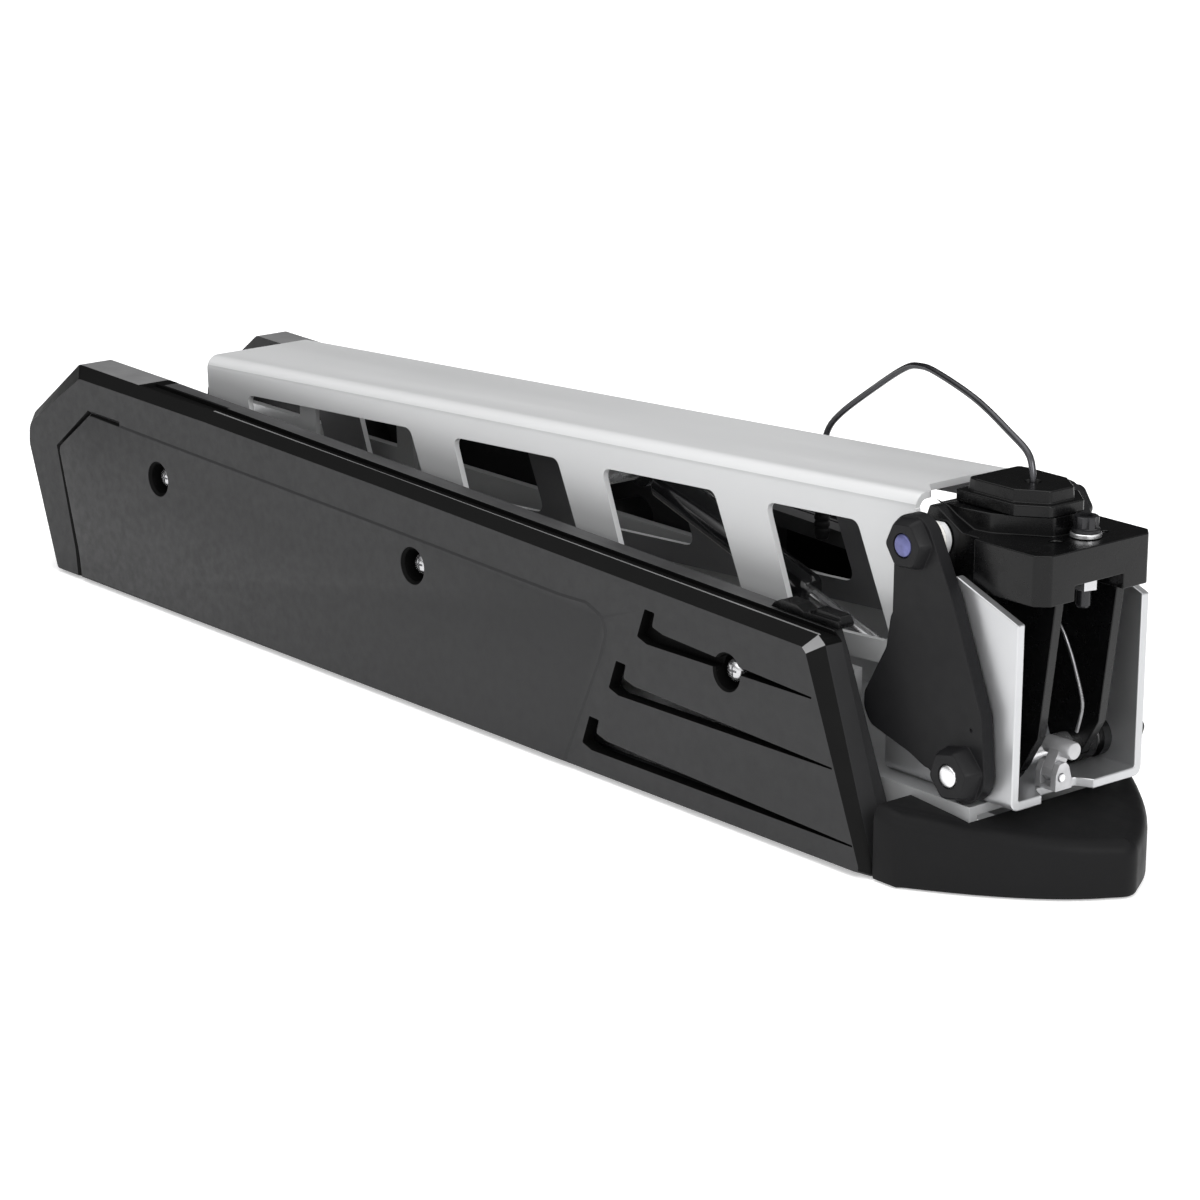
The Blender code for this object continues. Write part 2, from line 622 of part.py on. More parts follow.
# ---------------------------------------------------------------- channel arm
def channel_point(u, y, w):
    """World point of a place along (u), across (y) and square to (w) the channel."""
    cos, sin = math.cos(CHANNEL_PITCH), math.sin(CHANNEL_PITCH)
    return point(UPPER_PIVOT[0] + u * cos - w * sin, y, UPPER_PIVOT[1] + u * sin + w * cos)


def channel_loft(name, rings, mat=None):
    return loft(name, [[channel_point(*p) for p in ring] for ring in rings], mat)


def channel_side_cut(name, outline):
    """Cutter through both flanges, from an outline of (u, w) points."""
    return channel_loft(name, [[(u, y, w) for u, w in outline] for y in (-FAR, FAR)])


def window_outline(u_from, u_to):
    """Trapezoid window with rounded corners and leaning ends; u at its top edge."""
    top, low, lean, corner = 1.5, -59.0, 22.0, 5.0
    left = [(u_from, top), (u_from + lean * 0.9, low)]
    right = [(u_to + lean * 1.1, low), (u_to, top)]
    points = [left[0], left[1], right[0], right[1]]
    outline = []
    for i in range(4):
        here = Vector(points[i])
        before = Vector(points[i - 1])
        after = Vector(points[(i + 1) % 4])
        start = here + (before - here).normalized() * corner
        end = here + (after - here).normalized() * corner
        for t in (0.0, 0.5, 1.0):
            spot = start * (1 - t) ** 2 + here * 2 * t * (1 - t) + end * t * t
            outline.append((spot.x, spot.y))
    return outline


def make_channel(mats):
    """Arm folded from plate: an inverted U with windows, ears and a notched bow end."""
    low = CHANNEL_TOP_W - CHANNEL_DEPTH
    out, wall, fold, top = CHANNEL_OUT_Y, CHANNEL_WALL, CHANNEL_FOLD_R, CHANNEL_TOP_W
    outside = [(-out, low)] + arc((-out + fold, top - fold), fold, 180, 90, 5)
    outside += arc((out - fold, top - fold), fold, 90, 0, 5) + [(out, low)]
    inside = [(out - wall, low)] + arc((out - fold, top - fold), fold - wall, 0, 90, 4)
    inside += arc((-out + fold, top - fold), fold - wall, 90, 180, 4) + [(-out + wall, low)]
    section = outside + inside
    front_u = 14.0
    body = channel_loft("arm_channel", [[(CHANNEL_REAR_U, y, w) for y, w in section],
                                        [(front_u, y, w) for y, w in section]], mats["anodised"])
    ear = arc((0, 0), 12.0, 60, -35, 6)
    bow = [(30, 40), (-9, 40), (-12.5, 13.5), (-8, 12.0), (1, 12)] + ear
    bow += [(-6, -30), (-14, low - 10), (30, low - 10)]
    cut(body, channel_side_cut("cut_channel_bow", bow))
    notch_plan = [(20, -FAR), (20, FAR), (-12, FAR), (-12, 30), (-24, 20), (-24, -20), (-12, -30),
                  (-12, -FAR)]
    notch = channel_loft("cut_channel_notch", [[(u, y, w) for u, y in notch_plan] for w in (8.5, 40)])
    cut(body, notch)
    rear = [(CHANNEL_REAR_U - 10, low - 10), (CHANNEL_REAR_U - 10, -8), (CHANNEL_REAR_U, -8),
            (CHANNEL_REAR_U + 10, -40), (CHANNEL_REAR_U + 6, low - 10)]
    cut(body, channel_side_cut("cut_channel_rear", rear))
    for u_from, u_to in WINDOWS:
        cut(body, channel_side_cut("cut_window", window_outline(u_from, u_to)))
    add_axle_lugs(body)
    return cut(body, cross_bore("cut_channel_bore", UPPER_PIVOT, PIVOT_R + GAP))


def add_axle_lugs(body):
    """Lugs under the rear end of both flanges that carry the roller axle."""
    inner = CHANNEL_OUT_Y - CHANNEL_WALL
    for side in (-1, 1):
        outline = arc((AXLE_X, AXLE_Z), 8.5, 200, 340, 6) + [(AXLE_X + 14, 80), (AXLE_X - 8.5, 80)]
        lug = prism_y("cut_axle_lug", outline, side * inner, side * CHANNEL_OUT_Y)
        add(body, lug)
    cut(body, cross_bore("cut_axle_bore", (AXLE_X, AXLE_Z), AXLE_R + GAP))


def make_roller(name, side, mats):
    body = turned(name, (AXLE_X, side * 23, AXLE_Z), (AXLE_X, side * 37, AXLE_Z),
                  [(0, ROLLER_R - 1), (1, ROLLER_R), (13, ROLLER_R), (14, ROLLER_R - 1)], mats["nylon"], 28)
    return cut(body, rod("cut_roller", (AXLE_X, side * 10, AXLE_Z), (AXLE_X, side * 50, AXLE_Z),
                         AXLE_R + GAP))


def make_axle(mats):
    half = CHANNEL_OUT_Y + 2.2
    axle = turned("roller_axle", (AXLE_X, -half, AXLE_Z), (AXLE_X, half, AXLE_Z),
                  [(0, AXLE_R - 0.8), (0.8, AXLE_R), (2 * half - 0.8, AXLE_R), (2 * half, AXLE_R - 0.8)],
                  mats["steel"])
    return axle


def make_axle_sleeve(mats):
    """Tube between the rollers that keeps them apart."""
    return make_ring("axle_sleeve", (AXLE_X, AXLE_Z), -22.5, 22.5, 6.5, AXLE_R + GAP, mats, "steel")


def make_brace(mats):
    """Bent cross brace riveted between the flanges, seen through the rear window."""
    outer = CHANNEL_OUT_Y - CHANNEL_WALL - GAP
    thick, width, low, high = 3.0, 16.0, -60.0, 4.0
    inner = outer - thick
    section = [(-outer, low), (-outer, high), (-inner, high), (-inner, low + thick),
               (inner, low + thick), (inner, high), (outer, high), (outer, low)]
    rings = [[(u, y, w) for y, w in section] for u in (BRACE_U, BRACE_U + width)]
    return channel_loft("cross_brace", rings, mats["extrusion"])


# ---------------------------------------------------------------- gas spring
def spring_axis():
    a = Vector((SPRING_REAR[0], SPRING_REAR[1]))
    b = Vector((SPRING_FRONT[0], SPRING_FRONT[1]))
    return a, b, (b - a).length, (b - a).normalized()


def make_gas_spring(mats):
    """Lift-assist gas spring: cylinder in the channel, rod with an open end on the front pin."""
    rear, front, length, along = spring_axis()
    neck_end, bore_start = 12.0, 16.0

    def place(distance):
        spot = rear + along * distance
        return (spot.x, 0.0, spot.y)

    body_length = SPRING_BODY - neck_end
    body = turned("gas_spring_cylinder", place(neck_end), place(SPRING_BODY),
                  [(0, 7.0), (2, SPRING_R), (body_length - 2, SPRING_R), (body_length, 8.0)],
                  mats["dark_steel"])
    add(body, rod("cut_spring_eye", (rear.x, -6, rear.y), (rear.x, 6, rear.y), 9.0),
        rod("cut_spring_neck", place(4), place(neck_end + 8), 5.0))
    cut(body, cross_bore("cut_spring_pin", SPRING_REAR, SPRING_ROD_R + GAP),
        rod("cut_spring_bore", place(bore_start), place(SPRING_BODY + 20), SPRING_ROD_R + GAP, sides=16))

    shaft = rod("gas_spring_rod", place(SPRING_ROD_START), place(length - SADDLE_R / 2), SPRING_ROD_R,
                mats["steel"])
    add(shaft, rod("cut_saddle", (front.x, -5, front.y), (front.x, 5, front.y), SADDLE_R))
    cut(shaft, cross_bore("cut_saddle_bore", SPRING_FRONT, SADDLE_BORE_R),
        box("cut_saddle_mouth", (front.x - SADDLE_R - 2, front.x + SADDLE_R + 2), (-FAR, FAR),
            (front.y - SADDLE_R - 2, front.y - 1)))

    rear_pin = rod("gas_spring_rear_pin", (rear.x, -37.4, rear.y), (rear.x, 37.4, rear.y),
                   SPRING_ROD_R, mats["steel"])
    front_pin = rod("gas_spring_front_pin", (front.x, -12.5, front.y), (front.x, 12.5, front.y),
                    SPRING_PIN_R, mats["steel"])
    floor, out_y, in_y, high = BRACKET_FLOOR_Z + BRACKET_THICK + GAP, 13.0, 8.0, 23.0
    clevis = prism_x("gas_spring_clevis",
                     [(-out_y, floor), (out_y, floor), (out_y, floor + high), (in_y, floor + high),
                      (in_y, floor + 3), (-in_y, floor + 3), (-in_y, floor + high),
                      (-out_y, floor + high)], front.x - 9, front.x + 9, mats["steel"])
    cut(clevis, rod("cut_clevis_bore", (front.x, -20, front.y), (front.x, 20, front.y),
                    SPRING_PIN_R + GAP, sides=16))
    return body, shaft, rear_pin, front_pin, clevis


# ---------------------------------------------------------------- assembly
def clear_scene():
    for obj in list(bpy.data.objects):
        bpy.data.objects.remove(obj, do_unlink=True)


def make_base(mats):
    make_base_extrusion(mats)
    make_nose_bumper(mats)
    make_end_cap(mats)
    make_bracket(mats)
    for number, (x, y) in enumerate(BRACKET_BOLTS, 1):
        make_bracket_bolt(f"bracket_bolt_{number}", x, y, mats)
    for word, side in (("starboard", -1), ("port", 1)):
        make_side_plate(f"side_plate_{word}", side, mats)
        make_track_liner(f"track_liner_{word}", side, mats)
        make_corner_block(f"corner_block_{word}", side, mats)
        for number, x in enumerate(SCREW_HOLES_X, 1):
            make_screw(f"plate_screw_{word}_{number}", x, side, mats)
        make_ring(f"lower_bush_{word}", LOWER_PIVOT, side * BUSH_IN_Y, side * (BRACKET_IN_Y - GAP),
                  11.0, PIVOT_R + GAP, mats, "satin_black")


def make_swing_arm(mats):
    axis = pivot("arm_swing_axis", LOWER_PIVOT[0], 0, LOWER_PIVOT[1])
    hang(axis, make_tower(mats), make_cable_guide(mats), *make_tower_bolt(mats))
    hang(axis, make_pivot_bolt("lower_pivot_pin", LOWER_PIVOT, mats))
    hang(axis, make_pivot_bolt("upper_pivot_pin", UPPER_PIVOT, mats))
    for word, side in (("starboard", -1), ("port", 1)):
        hang(axis, make_link(f"link_{word}", side, mats))
        spacer = make_ring(f"upper_spacer_{word}", UPPER_PIVOT, side * (CHANNEL_OUT_Y + GAP),
                           side * (LINK_IN_Y - GAP), 10.0, PIVOT_R + GAP, mats, "nylon")
        hang(axis, spacer, make_ring(f"lower_spacer_{word}", LOWER_PIVOT, side * (TOWER_HUB_Y + GAP),
                                     side * (BUSH_IN_Y - GAP), LOWER_SPACER_R, PIVOT_R + GAP, mats, "steel"))


def make_slide_arm(mats):
    axis = pivot("channel_axis", UPPER_PIVOT[0], 0, UPPER_PIVOT[1])
    hang(axis, make_channel(mats), make_axle(mats), make_axle_sleeve(mats), make_brace(mats))
    roller_axis = pivot("roller_axis", AXLE_X, 0, AXLE_Z)
    for word, side in (("starboard", -1), ("port", 1)):
        hang(roller_axis, make_roller(f"roller_{word}", side, mats))


def main():
    clear_scene()
    mats = make_materials()
    make_base(mats)
    make_swing_arm(mats)
    make_slide_arm(mats)
    release_axis = pivot("release_axis", WIRE_X, 0, 186)
    hang(release_axis, *make_release(mats))
    foot, pin, lever = make_latch(mats)
    hang(pivot("latch_axis", -5, *LATCH_PIVOT), lever)
    cylinder, shaft, rear_pin, front_pin, clevis = make_gas_spring(mats)
    hang(pivot("spring_axis", SPRING_REAR[0], 0, SPRING_REAR[1]), cylinder)
    hang(pivot("rod_axis", SPRING_FRONT[0], 0, SPRING_FRONT[1]), shaft)


main()
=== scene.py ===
"""Looks for the folding bow mount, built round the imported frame."""
import math

import bmesh
import bpy
from mathutils import Matrix, Vector


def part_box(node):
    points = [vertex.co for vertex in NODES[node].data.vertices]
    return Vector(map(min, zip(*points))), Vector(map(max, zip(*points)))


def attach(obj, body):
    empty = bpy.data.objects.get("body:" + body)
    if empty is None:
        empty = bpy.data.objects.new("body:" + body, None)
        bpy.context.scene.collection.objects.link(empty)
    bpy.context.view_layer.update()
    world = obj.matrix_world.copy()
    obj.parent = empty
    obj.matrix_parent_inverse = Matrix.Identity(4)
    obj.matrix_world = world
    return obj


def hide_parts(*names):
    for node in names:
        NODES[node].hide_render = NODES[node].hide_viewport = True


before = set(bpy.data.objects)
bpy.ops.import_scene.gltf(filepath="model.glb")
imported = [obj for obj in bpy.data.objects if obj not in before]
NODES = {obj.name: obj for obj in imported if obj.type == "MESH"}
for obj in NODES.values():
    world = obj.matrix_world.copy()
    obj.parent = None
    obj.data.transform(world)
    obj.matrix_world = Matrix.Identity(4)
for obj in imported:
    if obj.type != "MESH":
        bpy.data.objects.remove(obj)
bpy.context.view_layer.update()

MM = 0.001
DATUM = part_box("front_bracket")[1].x      # x is counted from the bracket's front edge
SIDES = (("starboard", -1), ("port", 1))


# ---------------------------------------------------------------- materials
COAT_ROUGHNESS = 0.15
GLOSS_SCALE = 0.12                        # scale of the gloss blotches against the grain's
EVEN = (1, 1, 1)


def link(tree, a, b):
    tree.links.new(a, b)


def mapped(tree, stretch):
    coords = tree.nodes.new("ShaderNodeTexCoord")
    mapping = tree.nodes.new("ShaderNodeMapping")
    mapping.inputs["Scale"].default_value = stretch
    link(tree, coords.outputs["Object"], mapping.inputs["Vector"])
    return mapping.outputs["Vector"]


def noise(tree, vector, scale, detail=3.0, rough=0.55):
    node = tree.nodes.new("ShaderNodeTexNoise")
    node.inputs["Scale"].default_value = scale
    node.inputs["Detail"].default_value = detail
    node.inputs["Roughness"].default_value = rough
    link(tree, vector, node.inputs["Vector"])
    return node.outputs["Fac"]


def remap(tree, value, low, high, start=0.3, end=0.7):
    node = tree.nodes.new("ShaderNodeMapRange")
    node.inputs["From Min"].default_value = start
    node.inputs["From Max"].default_value = end
    node.inputs["To Min"].default_value = low
    node.inputs["To Max"].default_value = high
    link(tree, value, node.inputs["Value"])
    return node.outputs["Result"]


def mix(tree, factor, dark, light):
    node = tree.nodes.new("ShaderNodeMix")
    node.data_type = "RGBA"
    for socket, colour in ((node.inputs["A"], dark), (node.inputs["B"], light)):
        if isinstance(colour, tuple):
            socket.default_value = (*colour, 1.0)
        else:
            link(tree, colour, socket)
    link(tree, factor, node.inputs["Factor"])
    return node.outputs["Result"]


def surface(name, colour, roughness, metallic=0.0, vary=0.12, rough_vary=0.06, grain=900.0,
            bump=0.08, depth=0.0003, stretch=EVEN, blotch=12.0, coat=0.0, specular=0.5):
    """Procedural finish: blotchy colour, uneven gloss and fine grain."""
    mat = bpy.data.materials.new(name)
    mat.use_nodes = True
    tree = mat.node_tree
    shader = tree.nodes["Principled BSDF"]
    shader.inputs["Metallic"].default_value = metallic
    shader.inputs["Specular IOR Level"].default_value = specular
    shader.inputs["Coat Weight"].default_value = coat
    shader.inputs["Coat Roughness"].default_value = COAT_ROUGHNESS
    vector = mapped(tree, stretch)
    plain = mapped(tree, EVEN)
    dark = tuple(c * (1 - vary) for c in colour)
    light = tuple(min(1.0, c * (1 + vary)) for c in colour)
    tint = mix(tree, remap(tree, noise(tree, plain, blotch, 4.0), 0.0, 1.0), dark, light)
    link(tree, tint, shader.inputs["Base Color"])
    fine = noise(tree, vector, grain, 3.0)
    gloss = remap(tree, noise(tree, vector, grain * GLOSS_SCALE, 4.0),
                  roughness - rough_vary, roughness + rough_vary)
    link(tree, gloss, shader.inputs["Roughness"])
    node = tree.nodes.new("ShaderNodeBump")
    node.inputs["Strength"].default_value = bump
    node.inputs["Distance"].default_value = depth
    link(tree, fine, node.inputs["Height"])
    link(tree, node.outputs["Normal"], shader.inputs["Normal"])
    return mat


ALONG_X = (0.05, 1, 1)                    # stretches the grain into brush marks along x
MATS = {
    "cover": surface("cover_plastic", (0.022, 0.022, 0.0228), 0.50, vary=0.06, grain=1500,
                     bump=0.25, depth=0.00012, blotch=7, specular=0.20),
    # painted shade: a near-black copy of the cover plastic for the bevels along the top edge and at
    # the bow end
    "cover_shade_paint": surface("cover_painted_shade", (0.004, 0.004, 0.004), 0.34, vary=0.1, grain=600,
                          bump=0.03, blotch=20, specular=0.08),
    # painted light: a lighter copy of the cover plastic for the upward faces of the top strip
    "cover_top_light_paint": surface("cover_painted_top_light", (0.045, 0.045, 0.046), 0.45, vary=0.25, grain=900,
                          bump=0.25, depth=0.00015, blotch=25, stretch=ALONG_X, specular=0.3),
    # painted light and painted highlight: a pale copy of the cover plastic for the rear top strip,
    # the ridge line and the bow corner
    "cover_light_paint": surface("cover_painted_light", (0.16, 0.16, 0.162), 0.50, vary=0.12, grain=900,
                          bump=0.25, depth=0.00015, blotch=40),
    # painted shade: near-black for the walls of the screw holes, louvre slots and top groove
    "recess": surface("recess_painted_shade", (0.003, 0.003, 0.003), 0.6, grain=900, bump=0.05,
                      specular=0.05),
    "cast": surface("cast_black", (0.002, 0.002, 0.0022), 0.26, vary=0.15, grain=1100, bump=0.18,
                    depth=0.00012, specular=0.22),
    "link": surface("link_black", (0.009, 0.009, 0.0097), 0.40, vary=0.08, grain=1400, bump=0.18,
                    depth=0.00012, specular=0.12),
    "moulded": surface("moulded_black", (0.0025, 0.0025, 0.0027), 0.24, vary=0.1, grain=900,
                       bump=0.06, specular=0.30),
    "rubber": surface("bumper_rubber", (0.009, 0.009, 0.0094), 0.46, vary=0.10, grain=800,
                      bump=0.18, depth=0.0002, blotch=9, specular=0.06),
    "anodised": surface("anodised_brushed", (0.74, 0.745, 0.75), 0.38, metallic=0.35, vary=0.03,
                        rough_vary=0.05, grain=260, bump=0.05, depth=0.0002, stretch=ALONG_X,
                        blotch=5),
    # painted shade: a darker copy of the brushed anodising for the channel's side faces, while the
    # top stays lighter
    "anodised_shaded_wall": surface("anodised_shaded_wall", (0.52, 0.525, 0.53), 0.40, metallic=0.35, vary=0.03,
                             rough_vary=0.05, grain=260, bump=0.05, depth=0.0002,
                             stretch=ALONG_X, blotch=5),
    # painted shade: a dark copy of the anodising for the inner faces of the channel
    "anodised_inside_shade": surface("anodised_inside_shade", (0.15, 0.15, 0.155), 0.42, metallic=0.35,
                               vary=0.06, grain=260, bump=0.05, depth=0.0002, stretch=ALONG_X,
                               blotch=5),
    "bracket": surface("bracket_brushed", (0.49, 0.495, 0.505), 0.34, metallic=0.85, vary=0.04,
                       grain=420, bump=0.06, depth=0.0002, stretch=(1, 1, 0.08), blotch=16),
    "extrusion": surface("extrusion_mill", (0.45, 0.455, 0.46), 0.38, metallic=0.6, vary=0.05,
                         grain=300, bump=0.05, depth=0.0002, stretch=(0.04, 1, 1), blotch=6),
    "steel": surface("steel_bright", (0.70, 0.70, 0.71), 0.24, metallic=0.9, vary=0.05, grain=500,
                     bump=0.04, blotch=60),
    "screw": surface("screw_zinc", (0.5, 0.5, 0.51), 0.22, metallic=0.9, vary=0.1, grain=500,
                     bump=0.04, blotch=90),
    "latch": surface("latch_cast", (0.42, 0.42, 0.43), 0.36, metallic=0.6, vary=0.15, grain=700,
                     bump=0.25, depth=0.0003, blotch=90),
    "dark_steel": surface("steel_black_oxide", (0.02, 0.02, 0.022), 0.26, metallic=0.5, vary=0.15,
                          grain=700, bump=0.05, blotch=80),
    "wire": surface("wire_dark", (0.07, 0.07, 0.075), 0.22, metallic=0.85, vary=0.15, grain=500,
                    bump=0.05, blotch=60),
    "cable": surface("cable_bright", (0.20, 0.20, 0.205), 0.3, metallic=0.8, vary=0.15, grain=900,
                     bump=0.3, blotch=200),
    "spring": surface("spring_enamel", (0.008, 0.008, 0.009), 0.18, vary=0.1, grain=300, bump=0.02,
                      coat=0.3),
    "nylon": surface("nylon_natural", (0.66, 0.65, 0.62), 0.45, vary=0.05, grain=700, bump=0.06),
    "locker": surface("thread_locker", (0.10, 0.105, 0.24), 0.35, metallic=0.5, vary=0.25,
                      grain=900, bump=0.15, blotch=260),
}


# ---------------------------------------------------------------- shape helpers
UPRIGHT = 0.9                             # above this the axis counts as vertical
CORNER_SHARE = 0.48                       # most of an edge that one rounded corner may take
EASE = 0.35                               # how much the corner's steps bunch at its ends
MERGE_M = 2e-5
FLAT_DEG = 0.5
CURVE_STEPS = 24


def at(x, y, z):
    return Vector((DATUM + x * MM, y * MM, z * MM))


def new_piece(name, bm, mat):
    bmesh.ops.recalc_face_normals(bm, faces=bm.faces)
    mesh = bpy.data.meshes.new(name)
    bm.to_mesh(mesh)
    bm.free()
    obj = bpy.data.objects.new(name, mesh)
    bpy.context.scene.collection.objects.link(obj)
    if mat:
        mesh.materials.append(MATS[mat])
    return obj


def loft(name, rings, mat=None):
    """Closed body through rings that all have the same number of points."""
    bm = bmesh.new()
    loops = [[bm.verts.new(p) for p in ring] for ring in rings]
    count = len(loops[0])
    for low, high in zip(loops, loops[1:]):
        for i in range(count):
            j = (i + 1) % count
            bm.faces.new((low[i], low[j], high[j], high[i]))
    bm.faces.new(list(reversed(loops[0])))
    bm.faces.new(loops[-1])
    return new_piece(name, bm, mat)


def prism_y(name, outline, y_from, y_to, mat=None):
    return loft(name, [[at(x, y, z) for x, z in outline] for y in (y_from, y_to)], mat)


def prism_x(name, outline, x_from, x_to, mat=None):
    return loft(name, [[at(x, y, z) for y, z in outline] for x in (x_from, x_to)], mat)


def prism_z(name, outline, z_from, z_to, mat=None):
    return loft(name, [[at(x, y, z) for x, y in outline] for z in (z_from, z_to)], mat)


def block(name, xs, ys, zs, mat=None):
    outline = [(xs[0], zs[0]), (xs[1], zs[0]), (xs[1], zs[1]), (xs[0], zs[1])]
    return prism_y(name, outline, ys[0], ys[1], mat)


def turned(name, start, end, profile, mat=None, sides=48):
    """Round piece: profile is a list of (distance from start, radius) in mm."""
    first, last = at(*start), at(*end)
    axis = (last - first).normalized()
    helper = Vector((0, 0, 1)) if abs(axis.z) < UPRIGHT else Vector((1, 0, 0))
    side = axis.cross(helper).normalized()
    other = axis.cross(side)
    rings = []
    for along, radius in profile:
        centre = first + axis * along * MM
        rings.append([centre + (side * math.cos(a) + other * math.sin(a)) * radius * MM
                      for a in (2 * math.pi * (i + 0.5) / sides for i in range(sides))])
    return loft(name, rings, mat)


def rod(name, start, end, radius, mat=None, sides=48):
    length = (at(*end) - at(*start)).length / MM
    return turned(name, start, end, [(0, radius), (length, radius)], mat, sides)


def arc(centre, radius, start, end, steps):
    """Points on an arc; the angles are in degrees."""
    points = []
    for i in range(steps + 1):
        angle = math.radians(start + (end - start) * i / steps)
        points.append((centre[0] + radius * math.cos(angle), centre[1] + radius * math.sin(angle)))
    return points


def rounded(points, radii, steps=5):
    """Closed outline with rounded corners; radii is one number, or one for each corner."""
    outline = []
    count = len(points)
    for i in range(count):
        radius = radii[i] if isinstance(radii, (list, tuple)) else radii
        here = Vector(points[i])
        before = Vector(points[i - 1]) - here
        after = Vector(points[(i + 1) % count]) - here
        half = before.angle(after) / 2
        reach = min(radius / math.tan(half), before.length * CORNER_SHARE,
                    after.length * CORNER_SHARE)
        start = here + before.normalized() * reach
        end = here + after.normalized() * reach
        for k in range(steps + 1):
            t = k / steps
            bend = 0.5 * (1 - math.cos(math.pi * t)) * EASE + t * (1 - EASE)
            outline.append(tuple(start * (1 - bend) ** 2 + here * 2 * bend * (1 - bend)
                                 + end * bend ** 2))
    return outline


def combine(obj, others, operation):
    """Boolean with the cutters, applied and cleaned up."""
    for other in others:
        mod = obj.modifiers.new("b", "BOOLEAN")
        mod.operation = operation
        mod.solver = "EXACT"
        mod.object = other
    graph = bpy.context.evaluated_depsgraph_get()
    mesh = bpy.data.meshes.new_from_object(obj.evaluated_get(graph))
    obj.modifiers.clear()
    obj.data = mesh
    for other in others:
        bpy.data.objects.remove(other, do_unlink=True)
    return obj


def cut(obj, *others):
    return combine(obj, others, "DIFFERENCE")


def add(obj, *others):
    return combine(obj, others, "UNION")


def tidy(obj):
    """Merges doubled points and dissolves the edges inside flat faces."""
    bm = bmesh.new()
    bm.from_mesh(obj.data)
    bmesh.ops.remove_doubles(bm, verts=bm.verts, dist=MERGE_M)
    bmesh.ops.dissolve_limit(bm, angle_limit=math.radians(FLAT_DEG), verts=bm.verts,
                             edges=bm.edges, delimit={"MATERIAL"})
    bm.to_mesh(obj.data)
    bm.free()
    return obj


def soften(obj, width, segments=3, angle=32, clamp=True):
    """Rounded edges with hardened normals, so that flat faces shade flat."""
    for face in obj.data.polygons:
        face.use_smooth = True
    mod = obj.modifiers.new("edge", "BEVEL")
    mod.width = width * MM
    mod.segments = segments
    mod.limit_method = "ANGLE"
    mod.angle_limit = math.radians(angle)
    mod.miter_outer = "MITER_ARC"
    mod.use_clamp_overlap = clamp
    mod.harden_normals = True
    return obj


def paint(obj, mat, test):
    """Gives the faces whose centre and normal pass the test another material."""
    obj.data.materials.append(MATS[mat])
    index = len(obj.data.materials) - 1
    for face in obj.data.polygons:
        centre = face.center / MM
        if test(centre.x - DATUM / MM, centre.y, centre.z, face.normal):
            face.material_index = index
    return obj


def place(obj, body, slot, *nodes):
    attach(obj, body)
    if nodes:
        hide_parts(*nodes)
    return obj


def smooth_path(points, spacing):
    """Points at even steps on a smooth curve through the given ones."""
    places = [at(*p) for p in points]
    dense = []
    for i in range(len(places) - 1):
        before = places[max(i - 1, 0)]
        a, b = places[i], places[i + 1]
        after = places[min(i + 2, len(places) - 1)]
        for k in range(CURVE_STEPS):
            t = k / CURVE_STEPS
            dense.append(0.5 * (2 * a + (b - before) * t
                                + (2 * before - 5 * a + 4 * b - after) * t * t
                                + (3 * a - before - 3 * b + after) * t ** 3))
    dense.append(places[-1])
    kept = [dense[0]]
    for p in dense[1:-1]:
        if (p - kept[-1]).length >= spacing * MM:
            kept.append(p)
    kept.append(dense[-1])
    return kept


def tube(name, points, radius, mat, spacing=3.0, resolution=5):
    """Round wire of a given radius (mm) on a smooth line through the points."""
    curve = bpy.data.curves.new(name, "CURVE")
    curve.dimensions = "3D"
    curve.bevel_depth = radius * MM
    curve.bevel_resolution = resolution
    curve.use_fill_caps = True
    kept = smooth_path(points, spacing)
    spline = curve.splines.new("POLY")
    spline.points.add(len(kept) - 1)
    for spot, p in zip(spline.points, kept):
        spot.co = (*p, 1.0)
    spline.use_smooth = True
    obj = bpy.data.objects.new(name, curve)
    bpy.context.scene.collection.objects.link(obj)
    curve.materials.append(MATS[mat])
    return obj


# ---------------------------------------------------------------- camera, light and floor
CAMERA_AZIMUTH = 49.7
CAMERA_ELEVATION = 16.1
CAMERA_ROLL = 0.26
CAMERA_TARGET = (0.0231, 0.0084, 0.0590)
CAMERA_DISTANCE = 2.1909
CAMERA_LENS = 114.0
CAMERA_SENSOR = 36.0
SKY_BRIGHT_SIDE = (0.45, -0.38, 0.81)     # the studio is brightest in this direction
SKY_STRENGTH = (0.03, 1.1, 0.0, 0.6)      # strength low, high, and where along the direction
SOFT_BOXES = (("top_box", (-0.1, -0.1, 2.2), (0, 0, 0), (2.6, 1.8), 18),
              ("front_box", (2.4, -0.5, 1.3), (0.3, 0, 0.1), (1.2, 1.2), 26),
              ("side_box", (0.2, -2.6, 1.2), (0, 0, 0.1), (2.4, 0.9), 10))
FLOOR_HALF = 14.0
FLOOR_DROP = 0.0005
FLOOR_TONES = ((0.92, 0.92, 0.92), (0.96, 0.96, 0.96))
FLOOR_GRAIN = 0.4
FLOOR_ROUGHNESS = 0.9
FLOOR_GLOW = 0.35
WHITE = (1.0, 1.0, 1.0, 1.0)


def make_camera():
    azimuth, elevation = math.radians(CAMERA_AZIMUTH), math.radians(CAMERA_ELEVATION)
    back = Vector((math.sin(azimuth) * math.cos(elevation), -math.cos(azimuth) * math.cos(elevation),
                   math.sin(elevation)))
    data = bpy.data.cameras.new("camera")
    data.lens = CAMERA_LENS
    data.sensor_width = CAMERA_SENSOR
    camera = bpy.data.objects.new("camera", data)
    bpy.context.scene.collection.objects.link(camera)
    camera.location = Vector(CAMERA_TARGET) + back * CAMERA_DISTANCE
    turn = (-back).to_track_quat("-Z", "Y").to_matrix().to_4x4()
    spin = turn @ Matrix.Rotation(math.radians(CAMERA_ROLL), 4, "Z")
    camera.rotation_mode = "QUATERNION"
    camera.rotation_quaternion = spin.to_quaternion()
    bpy.context.scene.camera = camera


